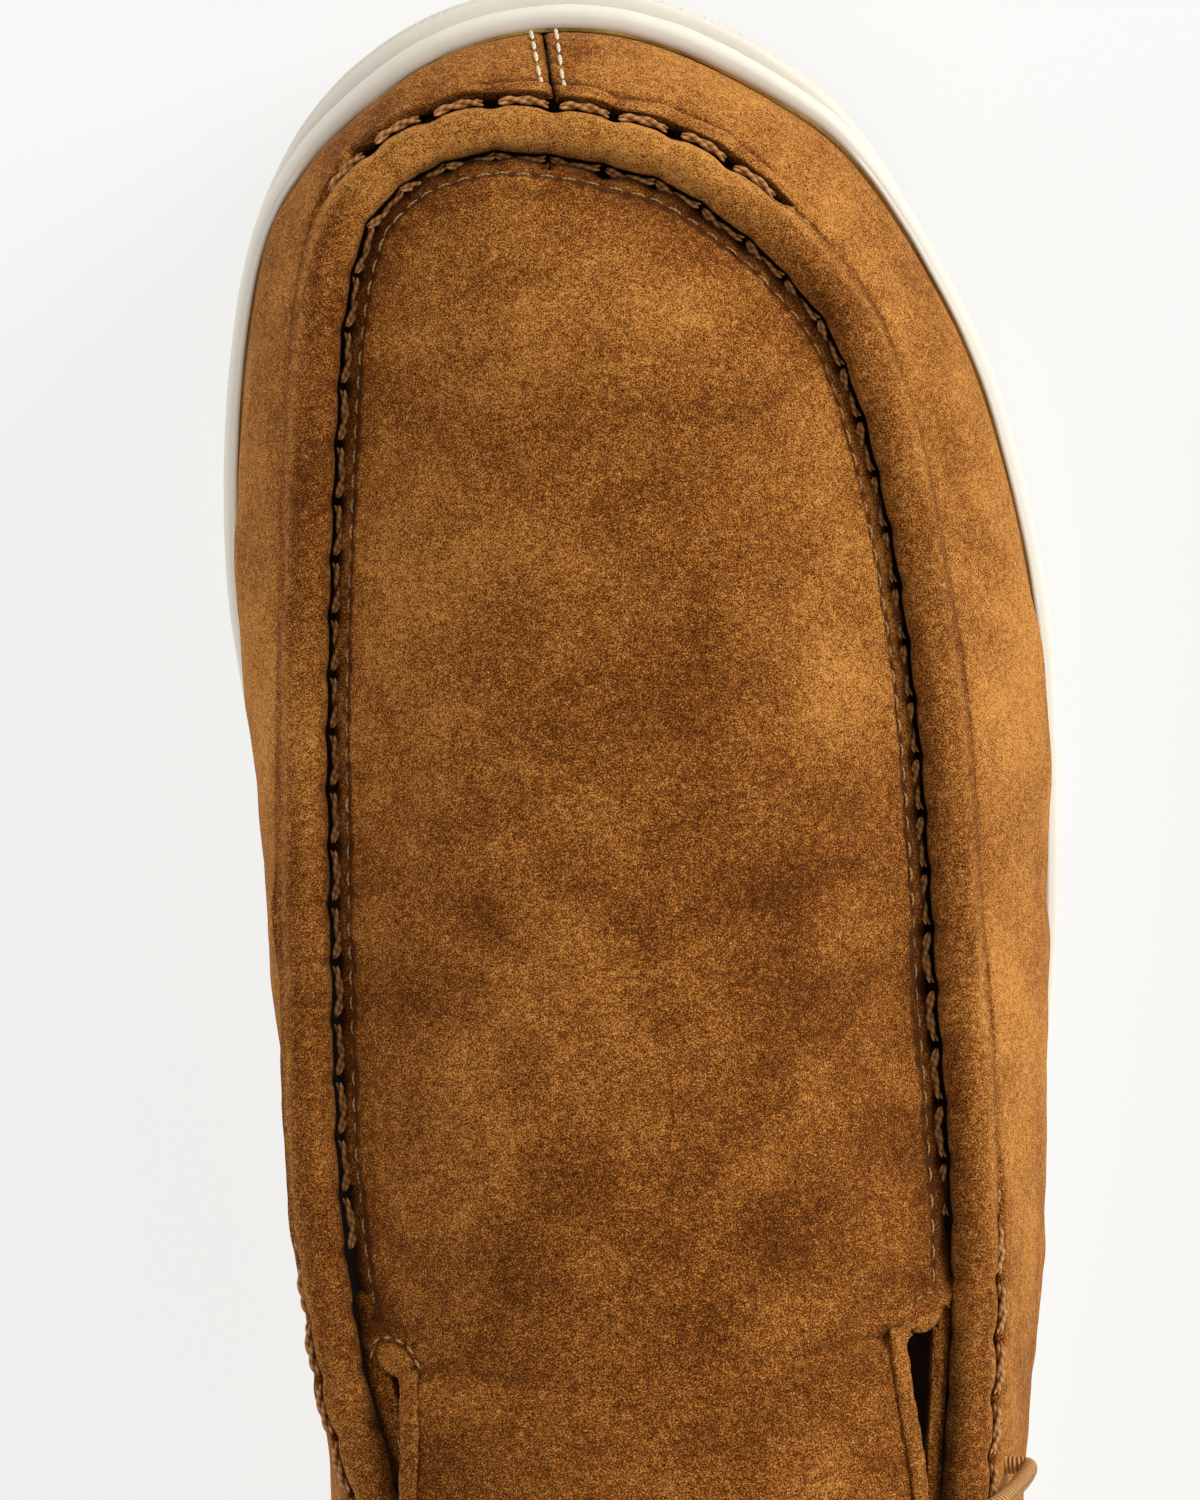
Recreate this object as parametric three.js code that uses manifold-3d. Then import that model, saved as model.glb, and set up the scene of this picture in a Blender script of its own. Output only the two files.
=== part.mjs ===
// Right-foot moccasin with a raised seam roll, a slit tongue, an elastic lace and a cup sole.
// Millimetres, +Z up, toe towards -Y, medial side towards +X, standing on z = 0.
// Places along the shoe are given as s, the distance back from the tip of the sole.
import * as THREE from 'three';
import { mergeVertices } from 'three/addons/utils/BufferGeometryUtils.js';
import Module from 'manifold-3d';

const wasm = await Module();
wasm.setup();

// Driving dimensions.
const SHOE_LENGTH = 302;
const BALL_WIDTH = 110.4;
const GAP = 0.35;             // between parts that touch on the real shoe
const CUP_CLEARANCE = 0.8;    // between the wall and the cup sole round it
const TOE_SPRING = 6;         // how far the toe tip is lifted
const SPRING_END = 70;        // where the sole reaches the ground
const TREAD_THICKNESS = 2;
const SOLE_LIP_HEIGHT = 23;   // top of the cup sole's lip over the ground line
const SOLE_FLOOR = 12;        // floor of the cup
const TOE_BUMPER = 2.3;       // how far the toe bumper stands out past the lip
const TOE_LIP = 1;            // how much thicker the lip is round the toe
const LIP_THICKNESS = 2.1;
const LEATHER = 1.6;
const STIFFENER = 1;
const COUNTER = 0.6;
const LINING = 0.8;
const FOAM = 5;
const FOAM_CLEARANCE = 0.9;
const ROLL_RADIUS = 2.6;
const ROLL_COVER = 1;
const ROLL_SINK = 1.6;        // how far the walls' top edges lie under the roll's centre
const BINDING_RADIUS = 1.8;
const LACE_RADIUS = 1.1;
const LACE_STEPS = 90;
const KNOT_RADIUS = 2;
const HOLE_CLEARANCE = 0.7;
const EYELET_RIM = 1.6;
const BOARD = 2;
const FOOTBED = 4.5;
const SHANK_WIDTH = 14;
const SHANK_DEPTH = 1.2;
const SHANK_PLACE = 2;        // the shank's middle line, towards the medial side
const SHANK_LENGTH_SHARE = 0.36;
const SHANK_MIDDLE_SHARE = 0.17; // how far behind the middle it lies, as a share of the length
const FOOTBED_SHOULDER = 3;   // rounded rim of the footbed, then its dished middle
const FOOTBED_DISH_INSET = 9;
const FOOTBED_DISH_DEPTH = 1.5;
const TREAD_INSET = 6;
const FOREFOOT_TREAD = [9, 150]; // s at both ends
const HEEL_TREAD = [214, 295];
const SLIT_BINDING = 2.2;
const SLIT_STRIP_WIDTH = 4.4; // leather between the roll and the slit, at the slit's front
const SLIT_STRIP_TAPER = 0.9; // how much it narrows for each index
const SLIT_STRIP_RISE = 1.2;
const PLUG_DROP = 0.6;        // how far the plug's edges lie under the roll's centre
const ARCH_POWER = 2.2;       // roundness of the plug's and the tongue's arches
const LINING_MARGIN = 0.92;   // share of the half width that the plug's lining covers
const LACE_SLACK = 0.6;       // extra room between the lace and the roll

// The outlines are drawn for this size and scaled to the driving sizes.
const DRAWN_LENGTH = 302;
const DRAWN_WIDTH = 110.4;
const STEPS_ROUND = 72;
const HEEL = 19;              // index of the heel's outline point; the toe is 0
const ROLL_END = 13;          // index where the roll meets the collar
const SLIT = 10;              // index of the slits' closed ends
const VAMP_END = 12.95;       // index where the vamps meet the quarters
const INDEX_GAP = 0.04;       // gap between neighbours along the outline, in index units
const HEEL_STRIP = 0.31;      // half width of the strip over the heel seam, in index units
const TOE_PUFF_END = 4.5;
const COUNTER_REACH = 3.4;    // how far the heel counter runs forwards from the heel
const FRONT_HOLE = 11.35;     // indices of the lace holes
const REAR_HOLE = 12.45;
const HOLE_HEIGHT = 0.9;      // share of the wall's height
const LINING_TOP = 0.9;
const FOAM_START = 0.55;      // shares of the wall's height over which the padding grows
const FOAM_FULL = 0.72;

// Sole outline from the toe to the heel: x and s.
const OUTLINE_MEDIAL = [
  [7.6, 0], [19, 1.6], [28.5, 5.6], [36.5, 11.6], [43, 19.5], [48.6, 31], [53.3, 52],
  [55.2, 77], [52.3, 110], [48.2, 140], [45.8, 163], [44.3, 181], [43.6, 198], [43.4, 212],
  [43.4, 229], [43.2, 246], [41.6, 264], [36, 284], [22, 298], [3.5, 302],
];
const OUTLINE_LATERAL = [
  [7.6, 0], [-4, 1.4], [-15, 5.8], [-25, 12.5], [-34, 22], [-43, 39], [-50.4, 59],
  [-55.2, 89], [-54.6, 124], [-51.6, 151], [-48.6, 170], [-45.4, 186], [-42.6, 199],
  [-40.6, 212], [-38.6, 229], [-37, 246], [-34.8, 264], [-28.6, 284], [-15, 298], [3.5, 302],
];
// Centre of the roll, and behind it of the collar's binding: x, s and z.
const TOPLINE_MEDIAL = [
  [7.4, 18.2, 47], [16, 17.4, 47], [24.8, 19.4, 47], [31, 23.5, 47.3], [34.6, 28.5, 47.6],
  [38, 40, 48.8], [41, 62, 51], [43.6, 90, 56.5], [45.2, 122, 66], [45.6, 146, 74],
  [43.8, 166, 81], [40.5, 181, 87], [38.5, 196, 92.5], [37.8, 210, 96.5], [36.5, 223, 93],
  [35.5, 238, 88], [34.5, 254, 87], [30, 274, 93], [18, 288, 100], [3, 292, 102],
];
const TOPLINE_LATERAL = [
  [7.4, 18.2, 47], [-0.5, 20.2, 47], [-8, 23, 47], [-15.2, 28.2, 47.3], [-22.5, 35.4, 47.8],
  [-29.7, 47, 49], [-34.2, 67.5, 52], [-36.4, 95, 57], [-36.3, 125, 64], [-36, 148, 71.5],
  [-34.8, 166, 77.5], [-32.4, 182, 83.5], [-30.4, 197, 89], [-29.6, 210, 93], [-29.4, 223, 90],
  [-29.8, 238, 85], [-28.8, 254, 84], [-24.5, 274, 91], [-12.5, 288, 99], [3, 292, 102],
];
// How far the walls swell out over the lip, by outline index: [index, medial, lateral].
const SWELL = [
  [0, 1.2, 1.2], [6, 1, 0.9], [8, 1.5, 1.5], [10, 5, 3], [12, 7, 4], [15, 5, 4.5], [19, 4, 4],
];
// Tongue's middle line: s, x, z, half width and the height of its arch.
const TONGUE = [
  [165.5, 5.4, 96.6, 27.5, 9.4], [178, 5.4, 101.8, 27.5, 11], [190, 5.2, 107, 26.5, 13],
  [202, 4.9, 112.8, 25.5, 14.5], [212, 4.6, 118.5, 24.5, 15],
];
// Plug's middle line over its edges, by outline index.
const PLUG_CROWN = [
  [0, 0], [1, 3.2], [2, 5.4], [3, 7.4], [4, 9.4], [5, 12], [6, 14.6], [7, 16.4], [8, 17.2],
  [9, 17.4], [10, 17.6],
];
// Cup sole's section as [inset, height]: its side, then from the groove to the lip, whose heights
// are measured down from the lip's top.
const SOLE_SIDE = [[4.2, TREAD_THICKNESS + GAP], [1.2, TREAD_THICKNESS + GAP], [0.2, 5], [0, 9]];
const SOLE_RIM = [[0.9, 7.4], [0.15, 6.6], [0.15, 5.4], [0.8, 4.7], [0.2, 3.8], [0.3, 1.6], [1, 0]];
const BUMPER_TOP = 8.4;
const LIP_ROUND = 0.4;        // size of the lip's inner corner

const LEATHER_FINISH = { color: 0x9a5f28, roughness: 0.86, metalness: 0 };
const ROLL_FINISH = { color: 0xa0692c, roughness: 0.8, metalness: 0 };
const LINING_FINISH = { color: 0xb98a5a, roughness: 0.85, metalness: 0 };
const STIFFENER_FINISH = { color: 0x6f6a60, roughness: 0.9, metalness: 0 };
const FOAM_FINISH = { color: 0xd9d2c0, roughness: 1, metalness: 0 };
const SOLE_FINISH = { color: 0xe3ddcf, roughness: 0.55, metalness: 0 };
const TREAD_FINISH = { color: 0x8a5a2c, roughness: 0.7, metalness: 0 };
const LACE_FINISH = { color: 0xa9662a, roughness: 0.7, metalness: 0 };
const STEEL_FINISH = { color: 0x8a8378, roughness: 0.4, metalness: 0.9 };

const shoe = new THREE.Group();
const lengthScale = SHOE_LENGTH / DRAWN_LENGTH;
const widthScale = BALL_WIDTH / DRAWN_WIDTH;
const toFrame = (x, s, z) => {
  const y = s * lengthScale - SHOE_LENGTH / 2;
  return new THREE.Vector3(x * widthScale, y, z);
};
const springLift = (y) => {
  const rest = SPRING_END - (y + SHOE_LENGTH / 2);
  return rest > 0 ? TOE_SPRING * (rest / SPRING_END) ** 2 : 0;
};

/** Straight-line table lookup: rows of [position, value, ...], one value column read. */
function table(rows, at, column = 1) {
  const last = rows.length - 1;
  if (at <= rows[0][0]) return rows[0][column];
  if (at >= rows[last][0]) return rows[last][column];
  const k = rows.findIndex((row) => row[0] > at) - 1;
  const f = (at - rows[k][0]) / (rows[k + 1][0] - rows[k][0]);
  return rows[k][column] * (1 - f) + rows[k + 1][column] * f;
}

const smooth = (a, b, x) => THREE.MathUtils.smoothstep(x, a, b);

/** Closed smooth curve through the medial side forwards and the lateral side back. */
function loop(medial, lateral) {
  const ring = [...medial, ...lateral.slice(1, -1).reverse()];
  const points = ring.map(([x, s, z = 0]) => toFrame(x, s, z));
  return new THREE.CatmullRomCurve3(points, true, 'catmullrom', 0.5);
}
const outline = loop(OUTLINE_MEDIAL, OUTLINE_LATERAL);
const topline = loop(TOPLINE_MEDIAL, TOPLINE_LATERAL);

// Places round the shoe are an index i: 0 is the toe, +HEEL and -HEEL the heel, + is medial.
const at = (curve, i) => curve.getPoint((((i / (2 * HEEL)) % 1) + 1) % 1);

/** Horizontal unit vector that points out of the shoe, square to a curve at index i. */
function outward(curve, i) {
  const step = 0.02;
  const run = at(curve, i + step).sub(at(curve, i - step));
  return new THREE.Vector3(run.y, -run.x, 0).normalize();
}

const toeWeight = (i) => 1 - smooth(2.2, 5.5, Math.abs(i));
const bumperInset = (i) => TOE_BUMPER * toeWeight(i);
const lipInset = (i) => (TOE_BUMPER + TOE_LIP) * toeWeight(i) + LIP_THICKNESS;

/** Point of the sole outline moved in by an inset, at a height over the ground line. */
function solePoint(i, inset, height) {
  const p = at(outline, i).addScaledVector(outward(outline, i), -inset);
  p.z = height + springLift(p.y);
  return p;
}

/** Top edge of the wall: beside the roll in front, under the binding behind. */
function wallTop(i) {
  const back = smooth(ROLL_END, ROLL_END + 1, Math.abs(i));
  const beside = (ROLL_RADIUS + GAP + LEATHER / 2) * (1 - back);
  const below = ROLL_SINK + (BINDING_RADIUS + GAP - ROLL_SINK) * back;
  const p = at(topline, i).addScaledVector(outward(topline, i), beside);
  p.z -= below;
  return p;
}

const swell = (i) => table(SWELL, Math.abs(i), i >= 0 ? 1 : 2);

/** Outer face of the wall: upright inside the cup, then leaning in and swelling to the top edge. */
function wallFace(i, v) {
  const foot = solePoint(i, lipInset(i) + CUP_CLEARANCE, SOLE_FLOOR + GAP);
  const top = wallTop(i);
  const z = foot.z + (top.z - foot.z) * v;
  const lip = foot.z + SOLE_LIP_HEIGHT - SOLE_FLOOR;
  const f = Math.max(0, (z - lip) / (top.z - lip));
  const p = foot.lerp(top, f ** 1.7);
  p.addScaledVector(outward(outline, i), swell(i) * Math.sin(Math.PI * f));
  p.z = z;
  return p;
}

/** Step along a face's own normal by a depth into the shoe. */
function sink(face, u, v, depth, sign) {
  const h = 0.01;
  const along = face(u + h, v).sub(face(u - h, v));
  const up = face(u, v + h).sub(face(u, v - h));
  const normal = along.cross(up).normalize().multiplyScalar(sign);
  return normal.multiplyScalar(-depth);
}
const NORMAL_MARGIN = 0.02;   // normals are read this far inside a face's edges
const inFace = (v) => THREE.MathUtils.clamp(v, NORMAL_MARGIN, 1 - NORMAL_MARGIN);
const wall = (i, v, depth) => wallFace(i, v).add(sink(wallFace, i, inFace(v), depth, 1));

/** Welded, outward-facing geometry from points and triangles; flat triangles are dropped. */
function weld(points, triangles) {
  const raw = new THREE.BufferGeometry();
  const coordinates = points.flatMap((p) => [p.x, p.y, p.z]);
  raw.setAttribute('position', new THREE.Float32BufferAttribute(coordinates, 3));
  raw.setIndex(triangles.flat());
  const merged = mergeVertices(raw, 1e-3);
  const index = merged.index.array;
  const position = merged.attributes.position;
  const kept = [];
  let volume = 0;
  const corner = [0, 1, 2].map(() => new THREE.Vector3());
  for (let k = 0; k < index.length; k += 3) {
    const [a, b, c] = [index[k], index[k + 1], index[k + 2]];
    if (a === b || b === c || c === a) continue;
    kept.push([a, b, c]);
    corner.forEach((p, n) => p.fromBufferAttribute(position, index[k + n]));
    volume += corner[0].dot(corner[1].cross(corner[2]));
  }
  merged.setIndex((volume < 0 ? kept.map(([a, b, c]) => [a, c, b]) : kept).flat());
  return merged;
}

/** Library shape made into welded, outward-facing geometry. */
function welded(geometry) {
  geometry.deleteAttribute('normal');
  geometry.deleteAttribute('uv');
  const { attributes: { position }, index } = mergeVertices(geometry, 1e-3);
  const points = [];
  const triangles = [];
  for (let k = 0; k < position.count; k += 1) {
    points.push(new THREE.Vector3().fromBufferAttribute(position, k));
  }
  for (let k = 0; k < index.count; k += 3) triangles.push([...index.array.slice(k, k + 3)]);
  return weld(points, triangles);
}

/** Closed sheet between two copies of a grid surface: place(u, v, depth), depths d0 to d1. */
function sheet(place, [u0, u1, nu], [v0, v1, nv], d0, d1) {
  const points = [];
  const triangles = [];
  const value = (d, u, v) => (typeof d === 'function' ? d(u, v) : d);
  for (const d of [d0, d1]) {
    for (let a = 0; a <= nu; a += 1) {
      for (let b = 0; b <= nv; b += 1) {
        const u = u0 + ((u1 - u0) * a) / nu;
        const v = v0 + ((v1 - v0) * b) / nv;
        points.push(place(u, v, value(d, u, v)));
      }
    }
  }
  const id = (side, a, b) => side * (nu + 1) * (nv + 1) + a * (nv + 1) + b;
  const quad = (a, b, c, d) => triangles.push([a, b, c], [a, c, d]);
  for (let a = 0; a < nu; a += 1) {
    for (let b = 0; b < nv; b += 1) {
      quad(id(0, a, b), id(0, a + 1, b), id(0, a + 1, b + 1), id(0, a, b + 1));
      quad(id(1, a, b), id(1, a, b + 1), id(1, a + 1, b + 1), id(1, a + 1, b));
    }
    quad(id(0, a, 0), id(1, a, 0), id(1, a + 1, 0), id(0, a + 1, 0));
    quad(id(0, a + 1, nv), id(1, a + 1, nv), id(1, a, nv), id(0, a, nv));
  }
  for (let b = 0; b < nv; b += 1) {
    quad(id(0, 0, b + 1), id(1, 0, b + 1), id(1, 0, b), id(0, 0, b));
    quad(id(0, nu, b), id(1, nu, b), id(1, nu, b + 1), id(0, nu, b + 1));
  }
  return weld(points, triangles);
}

/** Solid of stacked rings; the first and last are closed by strips from side to side. */
function stack(rings) {
  const n = rings[0].length;
  const triangles = [];
  const quad = (a, b, c, d) => triangles.push([a, b, c], [a, c, d]);
  for (let k = 0; k + 1 < rings.length; k += 1) {
    for (let j = 0; j < n; j += 1) {
      const next = (j + 1) % n;
      quad(k * n + j, k * n + next, (k + 1) * n + next, (k + 1) * n + j);
    }
  }
  const cap = (base, flip) => {
    for (let j = 0; j < n / 2; j += 1) {
      const [a, b, c, d] = [j, j + 1, (n - j - 1) % n, (n - j) % n].map((k) => base + k);
      if (flip) quad(d, c, b, a);
      else quad(a, b, c, d);
    }
  };
  cap(0, true);
  cap((rings.length - 1) * n, false);
  return weld(rings.flat(), triangles);
}

/** Ring round the whole sole at an inset and height; both can change round the shoe. */
function soleRing(inset, height, steps = STEPS_ROUND) {
  return Array.from({ length: steps }, (_, k) => {
    const i = (k / steps) * 2 * HEEL;
    const signed = i > HEEL ? i - 2 * HEEL : i;
    const depth = typeof inset === 'function' ? inset(signed) : inset;
    return solePoint(signed, depth, height);
  });
}

/** Plate inset from the sole's outline between two heights, kept only from s0 to s1. */
function solePlate(s0, s1, inset, z0, z1) {
  const plate = stack([soleRing(inset, z0), soleRing(inset, z1)]);
  const [y0, y1] = [s0, s1].map((s) => s * lengthScale - SHOE_LENGTH / 2);
  const keep = new THREE.BoxGeometry(2 * BALL_WIDTH, y1 - y0, 4 * SOLE_FLOOR);
  keep.translate(0, (y0 + y1) / 2, 0);
  return toGeometry(toSolid(plate).intersect(toSolid(keep)));
}

/** Curve along a stretch of the topline, moved by an offset. */
class ToplineStretch extends THREE.Curve {
  constructor(from, to, shift = new THREE.Vector3()) {
    super();
    Object.assign(this, { from, to, shift });
  }

  getPoint(t) {
    return at(topline, this.from + (this.to - this.from) * t).add(this.shift);
  }
}

/** Round bar or tube along a curve. */
function bar(path, radius, steps, sides = 8, bore = 0) {
  const circle = (r) => Array.from({ length: sides }, (_, k) => {
    const a = (2 * Math.PI * k) / sides;
    return new THREE.Vector2(r * Math.cos(a), r * Math.sin(a));
  });
  const shape = new THREE.Shape(circle(radius));
  if (bore > 0) shape.holes.push(new THREE.Path(circle(bore).reverse()));
  const geometry = new THREE.ExtrudeGeometry(shape, { steps, extrudePath: path, bevelEnabled: false });
  geometry.deleteAttribute('normal');
  geometry.deleteAttribute('uv');
  return mergeVertices(geometry, 1e-3);
}

function toSolid(geometry) {
  const bare = geometry.clone();
  bare.deleteAttribute('normal');
  bare.deleteAttribute('uv');
  const merged = mergeVertices(bare, 1e-3);
  return new wasm.Manifold(new wasm.Mesh({
    numProp: 3,
    vertProperties: new Float32Array(merged.attributes.position.array),
    triVerts: new Uint32Array(merged.index.array),
  }));
}

function toGeometry(solid) {
  const { vertProperties, triVerts } = solid.getMesh();
  const geometry = new THREE.BufferGeometry();
  geometry.setAttribute('position', new THREE.BufferAttribute(vertProperties, 3));
  geometry.setIndex(new THREE.BufferAttribute(triVerts, 1));
  return geometry;
}

function add(name, geometry, finish) {
  if (!geometry.attributes.normal) geometry.computeVertexNormals();
  const mesh = new THREE.Mesh(geometry, new THREE.MeshStandardMaterial(finish));
  mesh.name = name;
  shoe.add(mesh);
}

/** Cup sole: bottom, side with its groove, bead and line, rounded lip and the cup's floor. */
function cupsole() {
  const rings = SOLE_SIDE.map(([inset, z]) => soleRing(inset, z));
  rings.push(soleRing(0, SOLE_LIP_HEIGHT - BUMPER_TOP));
  SOLE_RIM.forEach(([inset, below]) => {
    rings.push(soleRing((i) => bumperInset(i) + inset, SOLE_LIP_HEIGHT - below));
  });
  rings.push(soleRing((i) => lipInset(i) - LIP_ROUND, SOLE_LIP_HEIGHT));
  rings.push(soleRing(lipInset, SOLE_LIP_HEIGHT - 2 * LIP_ROUND));
  rings.push(soleRing(lipInset, SOLE_FLOOR));
  add('cupsole', stack(rings), SOLE_FINISH);
}

/** Rubber tread inserts under the forefoot and the heel. */
function treads() {
  add('forefoot_tread', solePlate(...FOREFOOT_TREAD, TREAD_INSET, 0, TREAD_THICKNESS), TREAD_FINISH);
  add('heel_tread', solePlate(...HEEL_TREAD, TREAD_INSET, 0, TREAD_THICKNESS), TREAD_FINISH);
}

/** Board, shank and footbed that lie inside the lining, from the cup's floor up. */
function insoleParts() {
  const inside = (i) => lipInset(i) + CUP_CLEARANCE + LINING_DEPTH + LINING + 2 * GAP;
  const shankBase = SOLE_FLOOR + GAP;
  const boardBase = shankBase + SHANK_DEPTH + GAP;
  const footbedBase = boardBase + BOARD + GAP;
  const shank = new THREE.BoxGeometry(SHANK_WIDTH, SHANK_LENGTH_SHARE * SHOE_LENGTH, SHANK_DEPTH);
  shank.translate(SHANK_PLACE, SHANK_MIDDLE_SHARE * SHOE_LENGTH, shankBase + SHANK_DEPTH / 2);
  add('shank', shank, STEEL_FINISH);
  const board = stack([soleRing(inside, boardBase), soleRing(inside, boardBase + BOARD)]);
  add('insole_board', board, STIFFENER_FINISH);
  const rim = footbedBase + FOOTBED;
  add('footbed', stack([
    soleRing(inside, footbedBase),
    soleRing(inside, rim),
    soleRing((i) => inside(i) + FOOTBED_SHOULDER, rim),
    soleRing((i) => inside(i) + FOOTBED_DISH_INSET, rim - FOOTBED_DISH_DEPTH),
  ]), LINING_FINISH);
}

const lacedPlaces = [FRONT_HOLE, REAR_HOLE].flatMap((i) => [{ i, sign: 1 }, { i, sign: -1 }]);

/** Where an eyelet sits: its centre on the wall's outer face and the direction out of it. */
function eyeletPlace({ i, sign }) {
  const centre = wall(sign * i, HOLE_HEIGHT, 0);
  const out = centre.clone().sub(wall(sign * i, HOLE_HEIGHT, 1)).normalize();
  return { centre, out };
}
const eyelets = lacedPlaces.map(eyeletPlace);

// Cylinders and lathes stand along this axis until they are turned.
const UP_Y = new THREE.Vector3(0, 1, 0);

/** Geometry less a round hole at each eyelet. */
function withLaceHoles(geometry, radius) {
  let solid = toSolid(geometry);
  for (const { centre, out } of eyelets) {
    const cutter = new THREE.CylinderGeometry(radius, radius, 24, 16);
    cutter.applyQuaternion(new THREE.Quaternion().setFromUnitVectors(UP_Y, out));
    cutter.translate(centre.x, centre.y, centre.z);
    solid = solid.subtract(toSolid(cutter));
  }
  return toGeometry(solid);
}
const HOLE_RADIUS = LACE_RADIUS + HOLE_CLEARANCE;
const STIFF_DEPTH = LEATHER + GAP;
const LINING_DEPTH = STIFF_DEPTH + STIFFENER + GAP;

/** Padding thickness under the collar, zero in front of it and below it. */
function padding(i, v) {
  const ahead = Math.abs(i > HEEL ? 2 * HEEL - i : i);
  const along = smooth(ROLL_END + 5 * INDEX_GAP, ROLL_END + 2, ahead);
  const up = smooth(FOAM_START, FOAM_FULL, v) * (1 - 0.75 * smooth(HOLE_HEIGHT, 1, v));
  return FOAM * along * up;
}

/** Leather walls: vamps in front, quarters behind, and the strip over the heel seam. */
function walls() {
  for (const [side, sign] of [['medial', 1], ['lateral', -1]]) {
    const front = [sign * INDEX_GAP / 2, sign * VAMP_END, 30];
    const rear = [sign * (VAMP_END + INDEX_GAP), sign * (HEEL - HEEL_STRIP - INDEX_GAP), 18];
    const vamp = sheet(wall, front, [0, 1, 7], 0, LEATHER);
    add(`vamp_${side}`, withLaceHoles(vamp, HOLE_RADIUS), LEATHER_FINISH);
    add(`quarter_${side}`, sheet(wall, rear, [0, 1, 7], 0, LEATHER), LEATHER_FINISH);
  }
  const strip = [HEEL - HEEL_STRIP, HEEL + HEEL_STRIP, 2];
  add('heel_strip', sheet(wall, strip, [0, 1, 7], 0, LEATHER), LEATHER_FINISH);
}

/** Toe puff, heel counter and the lace holes' rings, between the leather and the lining. */
function stiffeners() {
  const puffRange = [-TOE_PUFF_END, TOE_PUFF_END, 18];
  const puff = sheet(wall, puffRange, [0.04, 0.8, 4], STIFF_DEPTH, STIFF_DEPTH + STIFFENER);
  add('toe_puff', puff, STIFFENER_FINISH);
  const counterFace = STIFF_DEPTH + GAP;
  const counterRange = [HEEL - COUNTER_REACH, HEEL + COUNTER_REACH, 20];
  const counter = sheet(wall, counterRange, [0.04, 0.5, 6], counterFace, counterFace + COUNTER);
  add('heel_counter', counter, STIFFENER_FINISH);
  const rim = HOLE_RADIUS + EYELET_RIM;
  const corners = [[HOLE_RADIUS, 0], [rim, 0], [rim, STIFFENER], [HOLE_RADIUS, STIFFENER]];
  const profile = [...corners, corners[0]].map(([r, h]) => new THREE.Vector2(r, h));
  lacedPlaces.forEach(({ i, sign }, k) => {
    const ring = new THREE.LatheGeometry(profile, 14);
    const { out } = eyelets[k];
    ring.applyQuaternion(new THREE.Quaternion().setFromUnitVectors(UP_Y, out));
    const seat = wall(sign * i, HOLE_HEIGHT, STIFF_DEPTH + STIFFENER + GAP / 3);
    ring.translate(seat.x, seat.y, seat.z);
    const place = `${sign > 0 ? 'medial' : 'lateral'}_${i === FRONT_HOLE ? 'front' : 'rear'}`;
    add(`eyelet_${place}`, welded(ring), STEEL_FINISH);
  });
}

/** Linings: the vamp's, the quarters' over the padded collar, and the collar's foam. */
function linings() {
  const front = [-VAMP_END, VAMP_END, 40];
  const vamp = sheet(wall, front, [0, LINING_TOP, 5], LINING_DEPTH, LINING_DEPTH + LINING);
  add('vamp_lining', withLaceHoles(vamp, HOLE_RADIUS), LINING_FINISH);
  const depth = (i, v) => LINING_DEPTH + padding(i, v);
  const start = VAMP_END + 1.5 * INDEX_GAP;
  const rear = [start, 2 * HEEL - start, 26];
  const quarter = sheet(wall, rear, [0, 1, 10], depth, (i, v) => depth(i, v) + LINING);
  add('quarter_lining', quarter, LINING_FINISH);
  const foamStart = ROLL_END + 15 * INDEX_GAP;
  const foamRange = [foamStart, 2 * HEEL - foamStart, 24];
  const foamBack = (i, v) => depth(i, v) - FOAM_CLEARANCE;
  const foam = sheet(wall, foamRange, [FOAM_START, 0.98, 5], STIFF_DEPTH + GAP, foamBack);
  add('collar_foam', foam, FOAM_FINISH);
}

/** Roll's leather cover and filler cord, and the collar's binding. */
function rollAndBinding() {
  const roll = new ToplineStretch(-ROLL_END, ROLL_END);
  const steps = 60;
  add('roll_cover', bar(roll, ROLL_RADIUS, steps, 8, ROLL_RADIUS - ROLL_COVER), ROLL_FINISH);
  add('roll_cord', bar(roll, ROLL_RADIUS - ROLL_COVER - GAP, steps, 6), FOAM_FINISH);
  const start = ROLL_END + 9 * INDEX_GAP;
  const collar = new ToplineStretch(start, 2 * HEEL - start);
  add('collar_binding', bar(collar, BINDING_RADIUS, 36, 8), LEATHER_FINISH);
}

/** Plug edge at an index: inside of the roll, a little under its top. */
function plugEdge(i) {
  const p = at(topline, i).addScaledVector(outward(topline, i), -(ROLL_RADIUS + GAP));
  p.z -= PLUG_DROP;
  return p;
}

/** Outer face of the plug: across is -1 on the lateral edge and 1 on the medial one. */
function plugFace(i, across) {
  const p = plugEdge(-i).lerp(plugEdge(i), (across + 1) / 2);
  p.z += table(PLUG_CROWN, i) * Math.max(0, 1 - Math.abs(across) ** ARCH_POWER);
  return p;
}

/** Outer face of the tongue: s back from its root, across its arch. */
function tongueFace(s, across) {
  const [x, z, half, drop] = [1, 2, 3, 4].map((column) => table(TONGUE, s, column));
  return toFrame(x + across * half, s, z - drop * Math.abs(across) ** ARCH_POWER);
}
const [TONGUE_ROOT, TONGUE_TIP] = [TONGUE[0][0], TONGUE.at(-1)[0]];
const inArch = (r) => THREE.MathUtils.clamp(r, -0.97, 0.97);
const plug = (i, r, depth) => plugFace(i, r)
  .add(sink(plugFace, Math.max(i, 0.05), inArch(r), depth, -1));
const tongue = (s, r, depth) => tongueFace(s, r)
  .add(sink(tongueFace, Math.min(s, TONGUE_TIP - 1), inArch(r), depth, -1));

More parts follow.
